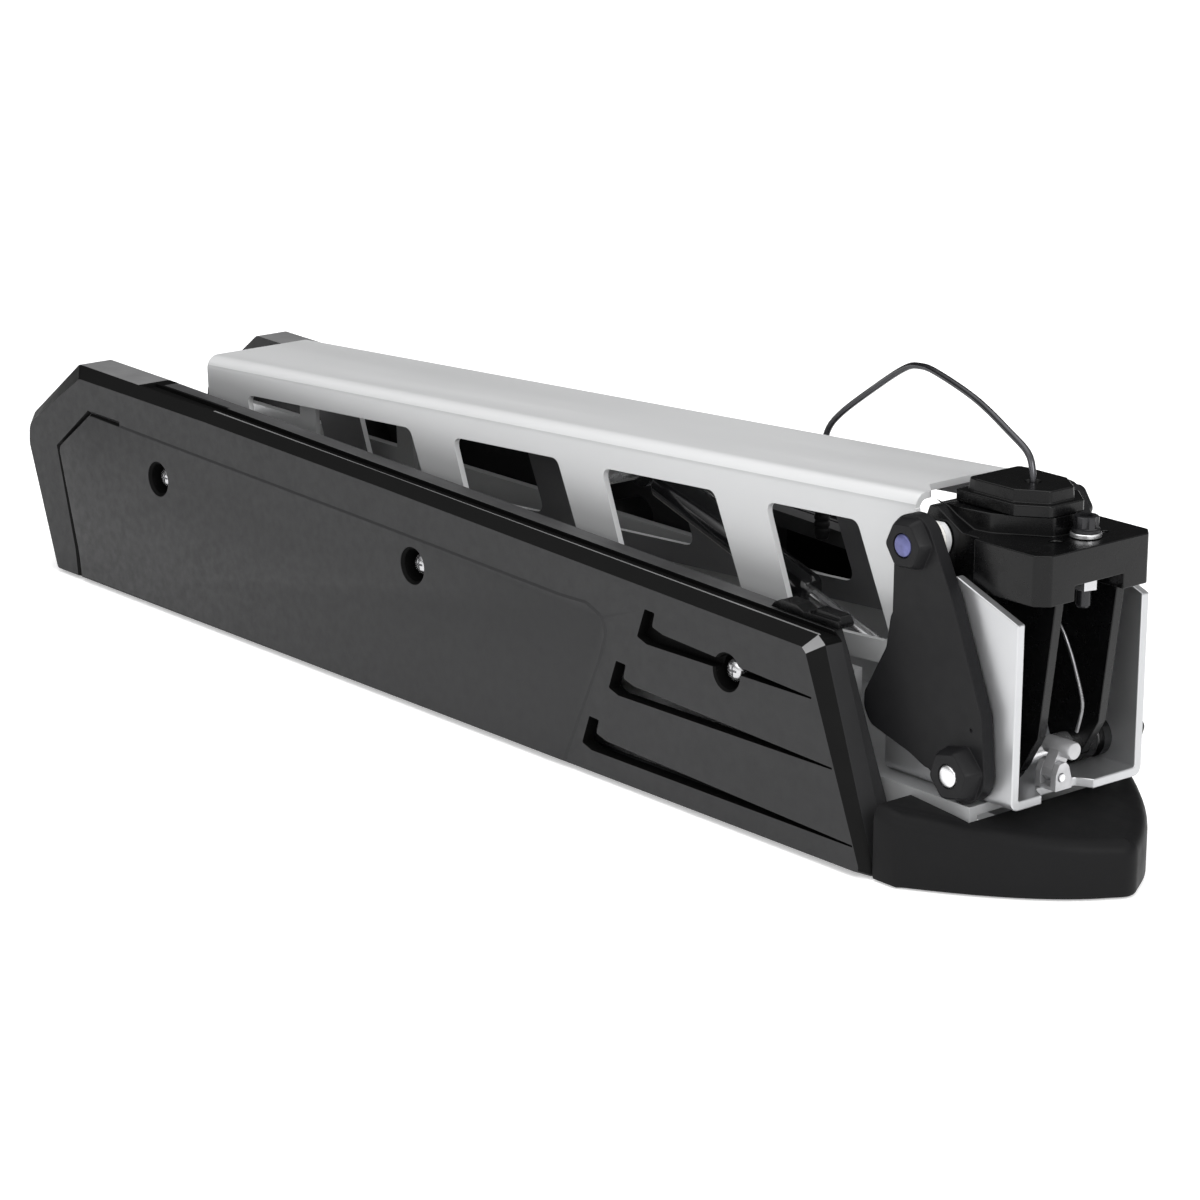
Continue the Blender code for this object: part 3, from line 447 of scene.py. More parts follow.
def make_sky():
    world = bpy.data.worlds.new("studio")
    world.use_nodes = True
    tree = world.node_tree
    backdrop = tree.nodes["Background"]
    backdrop.inputs["Color"].default_value = WHITE
    coords = tree.nodes.new("ShaderNodeTexCoord")
    toward = tree.nodes.new("ShaderNodeVectorMath")
    toward.operation = "DOT_PRODUCT"
    toward.inputs[1].default_value = SKY_BRIGHT_SIDE
    link(tree, coords.outputs["Generated"], toward.inputs[0])
    low, high, start, end = SKY_STRENGTH
    link(tree, remap(tree, toward.outputs["Value"], low, high, start, end),
         backdrop.inputs["Strength"])
    bpy.context.scene.world = world
    bpy.context.scene.view_settings.view_transform = "Standard"


def make_soft_boxes():
    for name, place_at, look, size, power in SOFT_BOXES:
        data = bpy.data.lights.new(name, "AREA")
        data.shape = "RECTANGLE"
        data.size, data.size_y = size
        data.energy = power
        obj = bpy.data.objects.new(name, data)
        obj.location = place_at
        obj.rotation_mode = "QUATERNION"
        obj.rotation_quaternion = (Vector(look) - Vector(place_at)).to_track_quat("-Z", "Y")
        bpy.context.scene.collection.objects.link(obj)


def make_floor():
    bm = bmesh.new()
    half = FLOOR_HALF
    bm.faces.new([bm.verts.new(p) for p in ((-half, -half, 0), (half, -half, 0), (half, half, 0),
                                            (-half, half, 0))])
    floor = new_piece("floor", bm, None)
    mat = bpy.data.materials.new("floor_pale")
    mat.use_nodes = True
    tree = mat.node_tree
    shader = tree.nodes["Principled BSDF"]
    tint = mix(tree, noise(tree, mapped(tree, EVEN), FLOOR_GRAIN), *FLOOR_TONES)
    link(tree, tint, shader.inputs["Base Color"])
    shader.inputs["Roughness"].default_value = FLOOR_ROUGHNESS
    shader.inputs["Specular IOR Level"].default_value = 0.0
    shader.inputs["Emission Color"].default_value = WHITE
    shader.inputs["Emission Strength"].default_value = FLOOR_GLOW
    floor.data.materials.append(mat)
    floor.location.z = -FLOOR_DROP


# ---------------------------------------------------------------- side covers
COVER_FACE_Y = 86.5
COVER_RIDGE_Y = 80.0
COVER_BACK_Y = 57.0
COVER_WALL = 3.0
FACE_OUTLINE = [(-813, 2), (-842, 80), (-841, 93), (-780, 133), (-722, 132), (-640, 130.5),
                (-464, 125), (-112, 112), (-109, 109.4), (-66, 3)]
BACK_OUTLINE = [(-817, 0.5), (-848, 80), (-847, 97), (-789, 140), (-722, 138.4), (-640, 136.5),
                (-464, 131), (-107, 118.4), (-101.6, 114.4), (-61.5, 0.5)]
CORNER_RADII = [3, 10, 10, 5, 0.5, 200, 200, 2, 3, 3]
PANEL_TOP = [(-781, 3), (-805, 84), (-768, 111), (-668, 108), (-465, 102), (-303, 96.5), (-281, 97),
             (-268, 92), (-265, 83), (-270, 68), (-300, 3)]
PANEL_FOOT = [(-783, 3), (-807.5, 84), (-769, 112.6), (-668, 109.4), (-465, 103.4), (-303, 98),
              (-280, 98.4), (-266.5, 93), (-263.6, 83), (-268.6, 68), (-298, 3)]
PANEL_RADII = [1, 6, 6, 50, 50, 10, 8, 6, 6, 10, 1]
PANEL_PROUD = 0.75
GROOVE_LINE = [(-786.5, 1), (-789, 20), (-807, 84), (-770, 112.2), (-735, 111.4)]
GROOVE_WIDTH = 4.2
GROOVE_DEPTH = 2.2
LOUVRES = (((-239, 88), (-104, 86.5), 7.0), ((-262, 54), (-88, 53), 8.0),
           ((-284, 17.5), (-72, 15.8), 9.0))
TOP_GROOVE = [(-722, 150), (-718, 136.4), (-640, 134.0), (-464, 128.6), (-100, 116), (-90, 150)]
TOP_GROOVE_Y = (78.4, 69.5)
TOP_STEP = [(-716, 150), (-712, 138.0), (-640, 135.6), (-464, 130.0), (-90, 117.2), (-80, 150)]
TOP_STEP_Y = (67.5, 50.0)
BOW_STEP = [(-120, 130), (-108, 105), (-72, 18), (-50, 18), (-50, 130)]
BOW_STEP_Y = (68.5, 50.0)
BOW_DOT = (-56.5, 65.0)
SCREWS_X = (-692.0, -434.0, -168.0)
SCREW_Z = 85.0
SCREW_HEAD_Y = 82.6
SCREW_END_Y = 57.2
SCREW_SEAT_Y = 75.0
SCREW_HOLE_R = 3.4
SCREW_TUBE_R = 13.0
CROSS_LENGTH = 3.0
CROSS_WIDTH = 0.6
TOP_EDGE_Z = 112.0                        # everything above this is the cover's top edge
STRIP_END_X = -721.5                      # the painted light on the rear top strip ends here


def cover_ring(y, level):
    """Outline of the cover at a depth; level goes from the face's outline to the back's."""
    outline = [(a[0] + (b[0] - a[0]) * level, a[1] + (b[1] - a[1]) * level)
               for a, b in zip(FACE_OUTLINE, BACK_OUTLINE)]
    return [at(x, y, z) for x, z in rounded(outline, CORNER_RADII, 4)]


def strip_outline(points, width):
    """Closed band of a given width along an open line of (x, z) points."""
    left, right = [], []
    for i, p in enumerate(points):
        a = Vector(points[max(i - 1, 0)])
        b = Vector(points[min(i + 1, len(points) - 1)])
        normal = Vector((-(b - a).y, (b - a).x)).normalized() * width / 2
        left.append(tuple(Vector(p) + normal))
        right.append(tuple(Vector(p) - normal))
    return left + right[::-1]


def groove(points, width, depth, side):
    """V-shaped cutter along a line on the outer face of a cover."""
    wide = strip_outline(points, width * 1.25)
    narrow = strip_outline(points, 0.3)
    rings = [[at(x, side * (COVER_FACE_Y + depth * 0.25), z) for x, z in wide],
             [at(x, side * (COVER_FACE_Y - depth), z) for x, z in narrow]]
    return loft("groove", rings)


def louvre(corner, tail, depth, side):
    """Hooked, tapering slot that runs towards the bow end."""
    x, z = corner
    outline = [(x, z), (x + 6, z + 16.5), (x + 14, z + 16), (x + 12, z + 8), (x + 21, z + 5.6),
               (tail[0], tail[1] + 0.6), (tail[0], tail[1] - 0.4), (x + 8, z - 2.6)]
    outline = rounded(outline, [1, 0.8, 0.8, 1.5, 2.5, 0.2, 0.2, 2], 3)
    rings = [[at(px, side * y, pz) for px, pz in outline]
             for y in (COVER_FACE_Y + 2, COVER_FACE_Y - depth)]
    return loft("louvre", rings)


def cover_hollow(side):
    """Inside of the cover, less the screw tubes and the solid part behind the louvres."""
    outline = [(x - math.copysign(COVER_WALL, x + 450), z - math.copysign(COVER_WALL, z - 62))
               for x, z in FACE_OUTLINE]
    inner = prism_y("hollow", outline, side * (COVER_FACE_Y - COVER_WALL),
                    side * (COVER_BACK_Y - 5))
    tubes = [rod("tube", (x, side * (COVER_FACE_Y + 1), SCREW_Z),
                 (x, side * (COVER_BACK_Y - 8), SCREW_Z), SCREW_TUBE_R) for x in SCREWS_X]
    return cut(inner, block("solid", (-300, -50), (side * 90, side * 78.5), (-5, 112)), *tubes)


def screw_hole(x, side):
    start, end = COVER_FACE_Y + 5, COVER_BACK_Y - 5
    depth = start - SCREW_SEAT_Y
    return turned("bore", (x, side * start, SCREW_Z), (x, side * end, SCREW_Z),
                  [(0, 11.6), (4.6, 11.0), (6.2, 9.6), (depth, 9.4), (depth, SCREW_HOLE_R),
                   (start - end, SCREW_HOLE_R)])


def in_shaded_recess(x, y, z, _normal):
    """Walls of the screw holes, the louvre slots and the groove along the top edge, which get
    painted shade.
    """
    if abs(y) > COVER_FACE_Y - 0.4:
        return False
    if any(math.hypot(x - hole, z - SCREW_Z) < 12.5 for hole in SCREWS_X):
        return True
    if z > TOP_EDGE_Z and x > -720:
        return 69.4 < abs(y) < 78.5
    return -292 < x < -117 + (112 - z) * 0.42 and 4 < z < 108


def faces_up(z, normal):
    return normal.z > 0.8 and z > TOP_EDGE_Z


def paint_cover(body):
    # painted shade on the bevels along the top edge and at the bow end
    paint(body, "cover_shade_paint", lambda x, y, z, n: 0.2 < abs(n.y) < 0.97 and 79.5 < abs(y) < 86
          and (n.z > 0.45 or n.x > 0.25))
    # painted light on the upward faces of the top strip behind the rear step
    paint(body, "cover_light_paint", lambda x, y, z, n: faces_up(z, n) and abs(y) < 80.5
          and x < STRIP_END_X)
    # painted light on the upward faces of the top strip ahead of the rear step
    paint(body, "cover_top_light_paint", lambda x, y, z, n: faces_up(z, n) and abs(y) < 69.5
          and x > STRIP_END_X)
    # painted highlight: a thin pale line along the ridge of the top bevel
    paint(body, "cover_light_paint", lambda x, y, z, n: faces_up(z, n) and 78.3 < abs(y) < 80.2
          and x > STRIP_END_X)
    # painted highlight on the small bevel at the top corner of the bow end
    paint(body, "cover_light_paint", lambda x, y, z, n: n.z > 0.3 and n.x > 0.3 and abs(n.y) > 0.2
          and -113 < x < -99 and z > 108)
    # painted shade in the screw holes, louvre slots and top groove
    paint(body, "recess", in_shaded_recess)


def make_cover(word, side):
    rings = [cover_ring(side * y, level) for y, level in ((COVER_FACE_Y, 0.0), (COVER_RIDGE_Y, 1.0),
                                                          (COVER_BACK_Y, 1.0))]
    body = loft(f"cover_{word}", rings, "cover")
    inner = cover_hollow(side)
    raised = rounded(PANEL_TOP, PANEL_RADII, 4)
    wide = rounded(PANEL_FOOT, PANEL_RADII, 4)
    pad = loft("pad", [[at(x, side * y, z) for x, z in ring]
                       for y, ring in ((COVER_FACE_Y - 1.5, wide), (COVER_FACE_Y - 0.05, wide),
                                       (COVER_FACE_Y + PANEL_PROUD, raised))])
    add(body, pad)
    cutters = [inner, groove(GROOVE_LINE, GROOVE_WIDTH, GROOVE_DEPTH, side)]
    cutters += [screw_hole(x, side) for x in SCREWS_X]
    cutters += [louvre(corner, tail, depth, side) for corner, tail, depth in LOUVRES]
    dot_x, dot_z = BOW_DOT
    cutters.append(rod("dot", (dot_x, side * 90, dot_z), (dot_x, side * 84, dot_z), 1.2, sides=16))
    for outline, (y_from, y_to) in ((TOP_GROOVE, TOP_GROOVE_Y), (TOP_STEP, TOP_STEP_Y),
                                    (BOW_STEP, BOW_STEP_Y)):
        cutters.append(prism_y("rebate", outline, side * y_from, side * y_to))
    cut(body, *cutters)
    paint_cover(body)
    tidy(body)
    soften(body, 0.7, 3, 25)
    place(body, "base", "black_plastic", f"side_plate_{word}")
    for number, x in enumerate(SCREWS_X, 1):
        make_screw(word, side, number, x)


def make_screw(word, side, number, x):
    """Pan head with a cross recess."""
    head = turned(f"cover_screw_{word}_{number}", (x, side * SCREW_HEAD_Y, SCREW_Z),
                  (x, side * SCREW_END_Y, SCREW_Z),
                  [(0, 1.0), (0.3, 3.0), (1.0, 4.8), (2.2, 5.9), (3.6, 6.2), (7.3, 6.4), (7.3, 3.0),
                   (25.2, 3.0)], "screw", 40)
    depth = (side * 90, side * 80.6)
    slots = [block("slot", (x - half_x, x + half_x), depth, (SCREW_Z - half_z, SCREW_Z + half_z))
             for half_x, half_z in ((CROSS_WIDTH, CROSS_LENGTH), (CROSS_LENGTH, CROSS_WIDTH))]
    cut(head, *slots)
    soften(head, 0.15, 2)
    place(head, "base", "dark_steel", f"plate_screw_{word}_{number}")


# ---------------------------------------------------------------- channel arm
PITCH = math.radians(3.3)
UPPER = (-65.7, 170.5)                    # the two hinge pins as (x, z)
LOWER = (-27.0, 60.5)
HINGE_BORE_R = 6.3
CHANNEL_Y = 41.5
CHANNEL_WALL = 3.5
CHANNEL_TOP = 21.0
CHANNEL_LOW = -71.0
FOLD_R = 8.0
FRONT_U = 14.0
REAR_U = -637.0
EAR_R = 9.8
NOTCH_PLAN = [(20, -60), (20, 60), (-12, 60), (-12, 30), (-24, 20), (-24, -20), (-12, -30),
              (-12, -60)]
NOTCH_RADII = [1, 1, 1, 5, 5, 5, 5, 1]
NOTCH_FLOOR = 8.5
WINDOWS = ((-596.0, -430.0), (-390.0, -295.0), (-257.0, -164.0), (-124.0, -54.5))
WINDOW_TOP = 1.5
WINDOW_LOW = -59
WINDOW_LEAN = (19.8, 24.2)                # forward lean of each window's rear and front edge
AXLE = (-688.0, 60.3)
AXLE_BORE_R = 4.3
LUG_R = 8.5
LUG_TOP = 80


def along(u, y, w):
    """Place along (u), across (y) and square to (w) the channel, from its hinge pin."""
    cos, sin = math.cos(PITCH), math.sin(PITCH)
    return at(UPPER[0] + u * cos - w * sin, y, UPPER[1] + u * sin + w * cos)


def across_arm(name, outline, y_from=-60, y_to=60, mat=None):
    return loft(name, [[along(u, y, w) for u, w in outline] for y in (y_from, y_to)], mat)


def channel_section():
    """Folded sheet, open side down, as (y, w) points."""
    out, fold, top, low = CHANNEL_Y, FOLD_R, CHANNEL_TOP, CHANNEL_LOW
    inner_r = fold - CHANNEL_WALL
    section = [(-out, low)] + arc((-out + fold, top - fold), fold, 180, 90, 10)
    section += arc((out - fold, top - fold), fold, 90, 0, 10) + [(out, low)]
    section += [(out - CHANNEL_WALL, low)] + arc((out - fold, top - fold), inner_r, 0, 90, 8)
    section += arc((-out + fold, top - fold), inner_r, 90, 180, 8)
    return section + [(-out + CHANNEL_WALL, low)]


def channel_cutters():
    """Shape of the bow end, the notch in its top, the rear end and the four windows."""
    low = CHANNEL_LOW
    bow = [(30, 40), (-9, 40), (-12.5, 13.5), (-8, 12.0), (1, 12)] + arc((0, 0), EAR_R, 60, -35, 12)
    bow += [(-6, -30), (-14, low - 10), (30, low - 10)]
    plan = rounded(NOTCH_PLAN, NOTCH_RADII, 4)
    rear = rounded([(REAR_U - 10, low - 10), (REAR_U - 10, -8), (REAR_U, -8), (REAR_U + 10, -40),
                    (REAR_U + 6, low - 10)], [1, 1, 12, 12, 1], 5)
    cutters = [across_arm("bow", bow),
               loft("notch", [[along(u, y, w) for u, y in plan] for w in (NOTCH_FLOOR, 40)]),
               across_arm("rear", rear)]
    rear_lean, front_lean = WINDOW_LEAN
    for u_from, u_to in WINDOWS:
        outline = [(u_from, WINDOW_TOP), (u_from + rear_lean, WINDOW_LOW),
                   (u_to + front_lean, WINDOW_LOW), (u_to, WINDOW_TOP)]
        cutters.append(across_arm("window", rounded(outline, [6, 6, 6, 7], 6)))
    return cutters


def make_channel():
    section = channel_section()
    body = loft("channel_shell", [[along(u, y, w) for y, w in section] for u in (REAR_U, FRONT_U)],
                "anodised")
    cut(body, *channel_cutters())
    lug = arc(AXLE, LUG_R, 200, 340, 10) + [(AXLE[0] + 14, LUG_TOP), (AXLE[0] - LUG_R, LUG_TOP)]
    add(body, *[prism_y("lug", lug, side * (CHANNEL_Y - CHANNEL_WALL), side * CHANNEL_Y)
                for side in (-1, 1)])
    cut(body, rod("bore", (AXLE[0], -60, AXLE[1]), (AXLE[0], 60, AXLE[1]), AXLE_BORE_R),
        rod("bore", (UPPER[0], -60, UPPER[1]), (UPPER[0], 60, UPPER[1]), HINGE_BORE_R))
    # painted shade on the side faces of the channel
    paint(body, "anodised_shaded_wall", lambda x, y, z, n: abs(n.y) > 0.97)
    # painted shade on the inward faces of the channel walls
    paint(body, "anodised_inside_shade", lambda x, y, z, n: abs(n.y) > 0.97 and n.y * y < 0)
    tidy(body)
    soften(body, 0.55, 3, 40)
    place(body, "slide_arm", "anodised", "arm_channel")


# ---------------------------------------------------------------- hinge bracket
BRACKET_OUT_Y = 47.5
BRACKET_IN_Y = 42.5
BRACKET_CORNER = 5.0
BRACKET_FLOOR = 44.3                      # underside; the floor is 5 mm thick
BRACKET_TOP = 160
BRACKET_CHAMFER = 0.6
BRACKET_X = (-90, 0)
BRACKET_ABOVE = [(20, 141), (0, 141), (-43, 157), (-56, 150), (-84, 78), (-92, 66), (-120, 66),
                 (-120, 190), (20, 190)]
BRACKET_ABOVE_RADII = [1, 2.5, 3, 4, 6, 4, 1, 1, 1]
BRACKET_RECESS = [(10, -26), (10, 12), (0, 12), (-9, 7), (-9, -21), (0, -26)]
BRACKET_RECESS_RADII = [1, 1, 2, 3, 3, 2]
BRACKET_BOLTS = ((-76, -26), (-76, 26), (-46, -26), (-46, 26))
BRACKET_BOLT_R = 4.3


def make_bracket():
    """U-shaped bracket; everything above the slanted outline is cut away from its walls."""
    out, inn, corner, floor = BRACKET_OUT_Y, BRACKET_IN_Y, BRACKET_CORNER, BRACKET_FLOOR
    chamfer, top = BRACKET_CHAMFER, BRACKET_TOP
    section = [(-out, top)] + arc((-out + corner, floor + corner), corner, 180, 270, 6)
    section += arc((out - corner, floor + corner), corner, 270, 360, 6) + [(out, top), (inn, top)]
    section += [(inn, floor + 5 + chamfer), (inn - chamfer, floor + 5), (-inn + chamfer, floor + 5),
                (-inn, floor + 5 + chamfer), (-inn, top)]
    body = prism_x("hinge_bracket", section, *BRACKET_X, "bracket")
    above = rounded(BRACKET_ABOVE, BRACKET_ABOVE_RADII, 4)
    recess = rounded(BRACKET_RECESS, BRACKET_RECESS_RADII, 4)
    cutters = [prism_y("above", above, -80, 80), prism_z("recess", recess, 30, 70)]
    for x, y in BRACKET_BOLTS:
        cutters.append(rod("hole", (x, y, 30), (x, y, 60), BRACKET_BOLT_R, sides=32))
    cutters.append(rod("bore", (LOWER[0], -60, LOWER[1]), (LOWER[0], 60, LOWER[1]), HINGE_BORE_R))
    cut(body, *cutters)
    tidy(body)
    soften(body, 0.7, 3, 30, clamp=False)
    place(body, "base", "anodised", "front_bracket")


# ---------------------------------------------------------------- links and hinge pins
LINK_IN_Y = 48.3
LINK_OUT_Y = 56.3
LINK_FOOT_R = 16.0
LINK_HEAD_R = 15.0
LINK_REAR_EDGE = [(-46, 54), (-64, 62), (-92, 70), (-97, 78), (-97, 86), (-82, 113), (-78, 139)]
LINK_REAR_R = 9
LINK_FRONT_EDGE = [(-37, 148), (-14, 92)]
LINK_DIMPLE = (-21, 84)
DIMPLE_R = 0.9
BOSS_LOW_Y = 66.0
BOSS_HIGH_Y = 63.0
BOSSES = ((LOWER, BOSS_LOW_Y, 1.0, 12), (UPPER, BOSS_HIGH_Y, 0.96, 5))    # pin, face, size, turn
BOSS_CORNER_R = 3.5
PIN_PROUD = 0.5


def link_outline():
    foot = arc(LOWER, LINK_FOOT_R, 10, -120, 14)
    rear_edge = rounded(LINK_REAR_EDGE, LINK_REAR_R, 5)[3:-3]
    head = arc(UPPER, LINK_HEAD_R, 215, 35, 18)
    return foot + rear_edge + head + LINK_FRONT_EDGE


def hexagon(centre, radius, turn):
    """Rounded hexagon of (x, z) points, turned by some degrees."""
    x, z = centre
    points = [(x + radius * math.cos(math.radians(60 * k + turn)),
               z + radius * math.sin(math.radians(60 * k + turn))) for k in range(6)]
    return rounded(points, BOSS_CORNER_R, 4)


def make_links():
    inner, outer = LINK_IN_Y, LINK_OUT_Y
    dimple_x, dimple_z = LINK_DIMPLE
    for word, side in SIDES:
        body = prism_y(f"link_plate_{word}", link_outline(), side * inner, side * outer, "link")
        bosses, cutters = [], []
        for pin, face, size, turn in BOSSES:
            rings = [[at(x, side * y, z) for x, z in hexagon(pin, radius * size, turn)]
                     for y, radius in ((outer - 2, 15.8), (face - 2.5, 14.2), (face, 12.6))]
            bosses.append(loft("boss", rings))
            bore = [(0, HINGE_BORE_R), (face + 6.0 - inner - 0.6, HINGE_BORE_R),
                    (face + 7.0 - inner, 8.6)]
            cutters.append(turned("bore", (pin[0], side * (inner - 5), pin[1]),
                                  (pin[0], side * (face + 2), pin[1]), bore))
        add(body, *bosses)
        cutters.append(rod("dimple", (dimple_x, side * (outer + 2), dimple_z),
                           (dimple_x, side * (outer - 1), dimple_z), DIMPLE_R, sides=16))
        cut(body, *cutters)
        tidy(body)
        soften(body, 0.4, 2, 30, clamp=False)
        place(body, "swing_arm", "satin_black", f"link_{word}")


def make_pins():
    for name, (x, z), face, mat in (("lower_pivot_pin", LOWER, BOSS_LOW_Y, "steel"),
                                    ("upper_pivot_pin", UPPER, BOSS_HIGH_Y, "locker")):
        end = face + PIN_PROUD
        length = 2 * end
        profile = [(0, 1.2), (0.05, 4.6), (0.5, 5.5), (1.4, 6.0), (length - 1.4, 6.0),
                   (length - 0.5, 5.5), (length - 0.05, 4.6), (length, 1.2)]
        pin = turned(name.replace("pivot_pin", "hinge_pin"), (x, -end, z), (x, end, z), profile,
                     mat)
        soften(pin, 0.1, 2)
        place(pin, "swing_arm", "steel", name)


# ---------------------------------------------------------------- tower
DECK_Z = 176.0
TOWER_LOW = 150.0
TOWER_TOP = 186.0
DECK_PLAN = [(-38, -41), (3, -41), (9, -35), (9, 35), (3, 41), (-38, 41)]
DECK_RADII = [1, 3, 3, 3, 3, 1]
HEAD_SIDE = [(-80, 158), (-82, 163), (-81, 172), (-76, 178), (-73, TOWER_TOP), (-68, TOWER_TOP),
             (-50, DECK_Z), (-20, DECK_Z), (-20, TOWER_LOW), (-45, TOWER_LOW)]
HEAD_RADII = [2, 2, 3, 3, 2, 2, 4, 1, 1, 6]
HEAD_Y = 37.2
PAD_PLAN = [(-73, -30), (-60, -30), (-40, -26), (-22, -13), (-15, -8), (-15, 8), (-22, 13),
            (-40, 26), (-60, 30), (-73, 30)]
PAD_RADII = [2, 5, 9, 6, 3, 3, 6, 9, 5, 2]
PAD_LOW = 160
LEG_Y = (19.0, 25.0)
LEG_FOOT_R = 9.4
HUB_Y = (20.0, 33.0)
HUB_PROFILE = [(0, 10.8), (12.2, 10.8), (13, 10.0)]
TOWER_BOLT = (-6.2, 5.4)
TOWER_BOLT_HOLE_R = 4.4
POCKET = (-9.5, -12)
POCKET_PROFILE = [(0, 3.5), (5.2, 3.5), (6.2, 4.6), (10, 4.6)]
CABLE_HOLE = (-38, 0)
CABLE_HOLE_R = 3.0
DECK_DOT = (-7, 20)
DECK_DOT_PROFILE = [(0, 2.0), (7, 2.0), (8.4, 1.2)]


def make_tower():
    body = prism_z("tower_body", rounded(DECK_PLAN, DECK_RADII, 4), TOWER_LOW, DECK_Z, "cast")
    add(body, prism_y("head", rounded(HEAD_SIDE, HEAD_RADII, 4), -HEAD_Y, HEAD_Y),
        prism_z("pad", rounded(PAD_PLAN, PAD_RADII, 4), PAD_LOW, TOWER_TOP))
    leg = [(4, TOWER_LOW + 2), (-5, 77), (-16.5, 57)] + arc(LOWER, LEG_FOOT_R, -20, -160, 12)
    leg += [(-40, 68), (-52, 110), (-60, TOWER_LOW + 2)]
    x, z = LOWER
    for side in (-1, 1):
        add(body, prism_y("leg", leg, side * LEG_Y[0], side * LEG_Y[1]),
            turned("hub", (x, side * HUB_Y[0], z), (x, side * HUB_Y[1], z), HUB_PROFILE))
    cutters = [block("slot", (-70, 20), (-17.5, 17.5), (120, 158))]
    for x, z in (LOWER, UPPER):
        cutters.append(rod("bore", (x, -60, z), (x, 60, z), HINGE_BORE_R))
    cutters.append(turned("pocket", (*POCKET, 170), (*POCKET, 180), POCKET_PROFILE))
    cutters.append(rod("hole", (*TOWER_BOLT, 140), (*TOWER_BOLT, 200), TOWER_BOLT_HOLE_R))
    cutters.append(rod("hole", (*CABLE_HOLE, 140), (*CABLE_HOLE, 200), CABLE_HOLE_R))
    cutters.append(turned("dot", (*DECK_DOT, 182), (*DECK_DOT, 172), DECK_DOT_PROFILE))
    cut(body, *cutters)
    tidy(body)
    soften(body, 0.6, 3, 30, clamp=False)
    place(body, "swing_arm", "satin_black", "tower_casting")


# ---------------------------------------------------------------- cable guide
GUIDE_LIP = [(-70, -23), (-28, -23), (-14, -12), (-14, 12), (-28, 23), (-70, 23)]
GUIDE_FOOT = [(-66, -19), (-60, -20), (-32, -20), (-17, -9), (-17, 9), (-32, 20), (-60, 20),
              (-66, 19)]
GUIDE_TOP = [(-65, -18), (-59, -19), (-32.5, -19), (-18, -8.6), (-18, 8.6), (-32.5, 19), (-59, 19),
             (-65, 18)]
GUIDE_R = 3
LIP_Z = (186.3, 192.5)
GUIDE_Z = (188, 199)
GUIDE_HOLE_PROFILE = [(0, 2.4), (16.5, 2.4), (19.0, 4.4), (22, 4.4)]


def make_guide():
    body = prism_z("guide_block", rounded(GUIDE_LIP, GUIDE_R, 4), *LIP_Z, "cast")
    top = loft("top", [[at(x, y, z) for x, y in rounded(outline, GUIDE_R, 4)]
                       for z, outline in zip(GUIDE_Z, (GUIDE_FOOT, GUIDE_TOP))])
    add(body, top)
    cut(body, turned("hole", (*CABLE_HOLE, 180), (*CABLE_HOLE, 202), GUIDE_HOLE_PROFILE))
    tidy(body)
    soften(body, 0.8, 3, 30, clamp=False)
    place(body, "swing_arm", "satin_black", "cable_guide")


# ---------------------------------------------------------------- tower bolt
WASHER_PROFILE = [(0, 7.8), (0.2, 8.0), (2.0, 8.0), (2.4, 7.6)]
BOLT_END_Z = 140
BOLT_SHANK_R = 3.9
SOCKET_R = 3.6
FLUTE_CIRCLE_R = 9.6
FLUTE_R = 3.9
NUT_Z = (149.7, 157.7)
NUT_HEX_TOP = 156.4
NUT_HEX_R = 7.2


def make_tower_bolt():
    """Washer, six-fluted bolt head with a hexagon socket, and flange nut under the deck."""
    x, y = TOWER_BOLT
    washer = turned("bolt_washer", (x, y, DECK_Z + 0.3), (x, y, DECK_Z + 2.7), WASHER_PROFILE,
                    "steel")
    cut(washer, rod("hole", (x, y, 170), (x, y, 190), 4.3))
    soften(washer, 0.15, 2)
    place(washer, "swing_arm", "steel", "tower_bolt_washer")
    seat = DECK_Z + 3.0
    bolt = turned("flange_bolt", (x, y, seat + 8.0), (x, y, BOLT_END_Z),
                  [(0, 5.9), (0.4, 6.3), (1.2, 6.4), (6.4, 6.4), (6.8, 7.2), (8.0, 7.4),
                   (8.0, BOLT_SHANK_R), (seat + 8 - 141, BOLT_SHANK_R),
                   (seat + 8 - BOLT_END_Z, 3.2)], "dark_steel", 48)
    socket = prism_z("socket", arc((x, y), SOCKET_R, 0, 300, 5), seat + 4, seat + 12)
    flutes = []
    for k in range(6):
        angle = math.radians(60 * k + 10)
        centre = (x + FLUTE_CIRCLE_R * math.cos(angle), y + FLUTE_CIRCLE_R * math.sin(angle))
        flutes.append(rod("flute", (*centre, seat + 2.2), (*centre, seat + 12), FLUTE_R, sides=24))
    cut(bolt, socket, *flutes)
    soften(bolt, 0.2, 2)
    place(bolt, "swing_arm", "dark_steel", "tower_bolt")
    nut_low, nut_high = NUT_Z
    nut = turned("flange_nut", (x, y, nut_high), (x, y, nut_low),
                 [(0, 8.0), (1.2, 8.0), (1.8, 7.0)], "screw")
    add(nut, prism_z("hex", arc((x, y), NUT_HEX_R, 15, 315, 5), nut_low, NUT_HEX_TOP))
    cut(nut, rod("hole", (x, y, 170), (x, y, 140), 4.2))
    soften(nut, 0.3, 2)
    place(nut, "swing_arm", "steel", "tower_bolt_nut")


# ---------------------------------------------------------------- bumper
NOSE_REAR_X = -61.0
NOSE_WIDEST_X = -46.0
NOSE_SPAN = 80.0
NOSE_TIP_X = 39.0
NOSE_REACH = 94.0
NOSE_HALF_WIDTH = 84.0
NOSE_POINTS = 26
NOSE_HEIGHT = 40.0
NOSE_FALL = 11.0                          # how much lower the top is at the tip
NOSE_FOOT = ((2.0, 0.0), (0.6, 0.8), (0.0, 2.5))                         # (shrink, height)
NOSE_SHOULDER = ((0.0, 8.0), (0.2, 5.6), (0.9, 3.4), (2.2, 1.6), (4.0, 0.5), (6.0, 0.0))


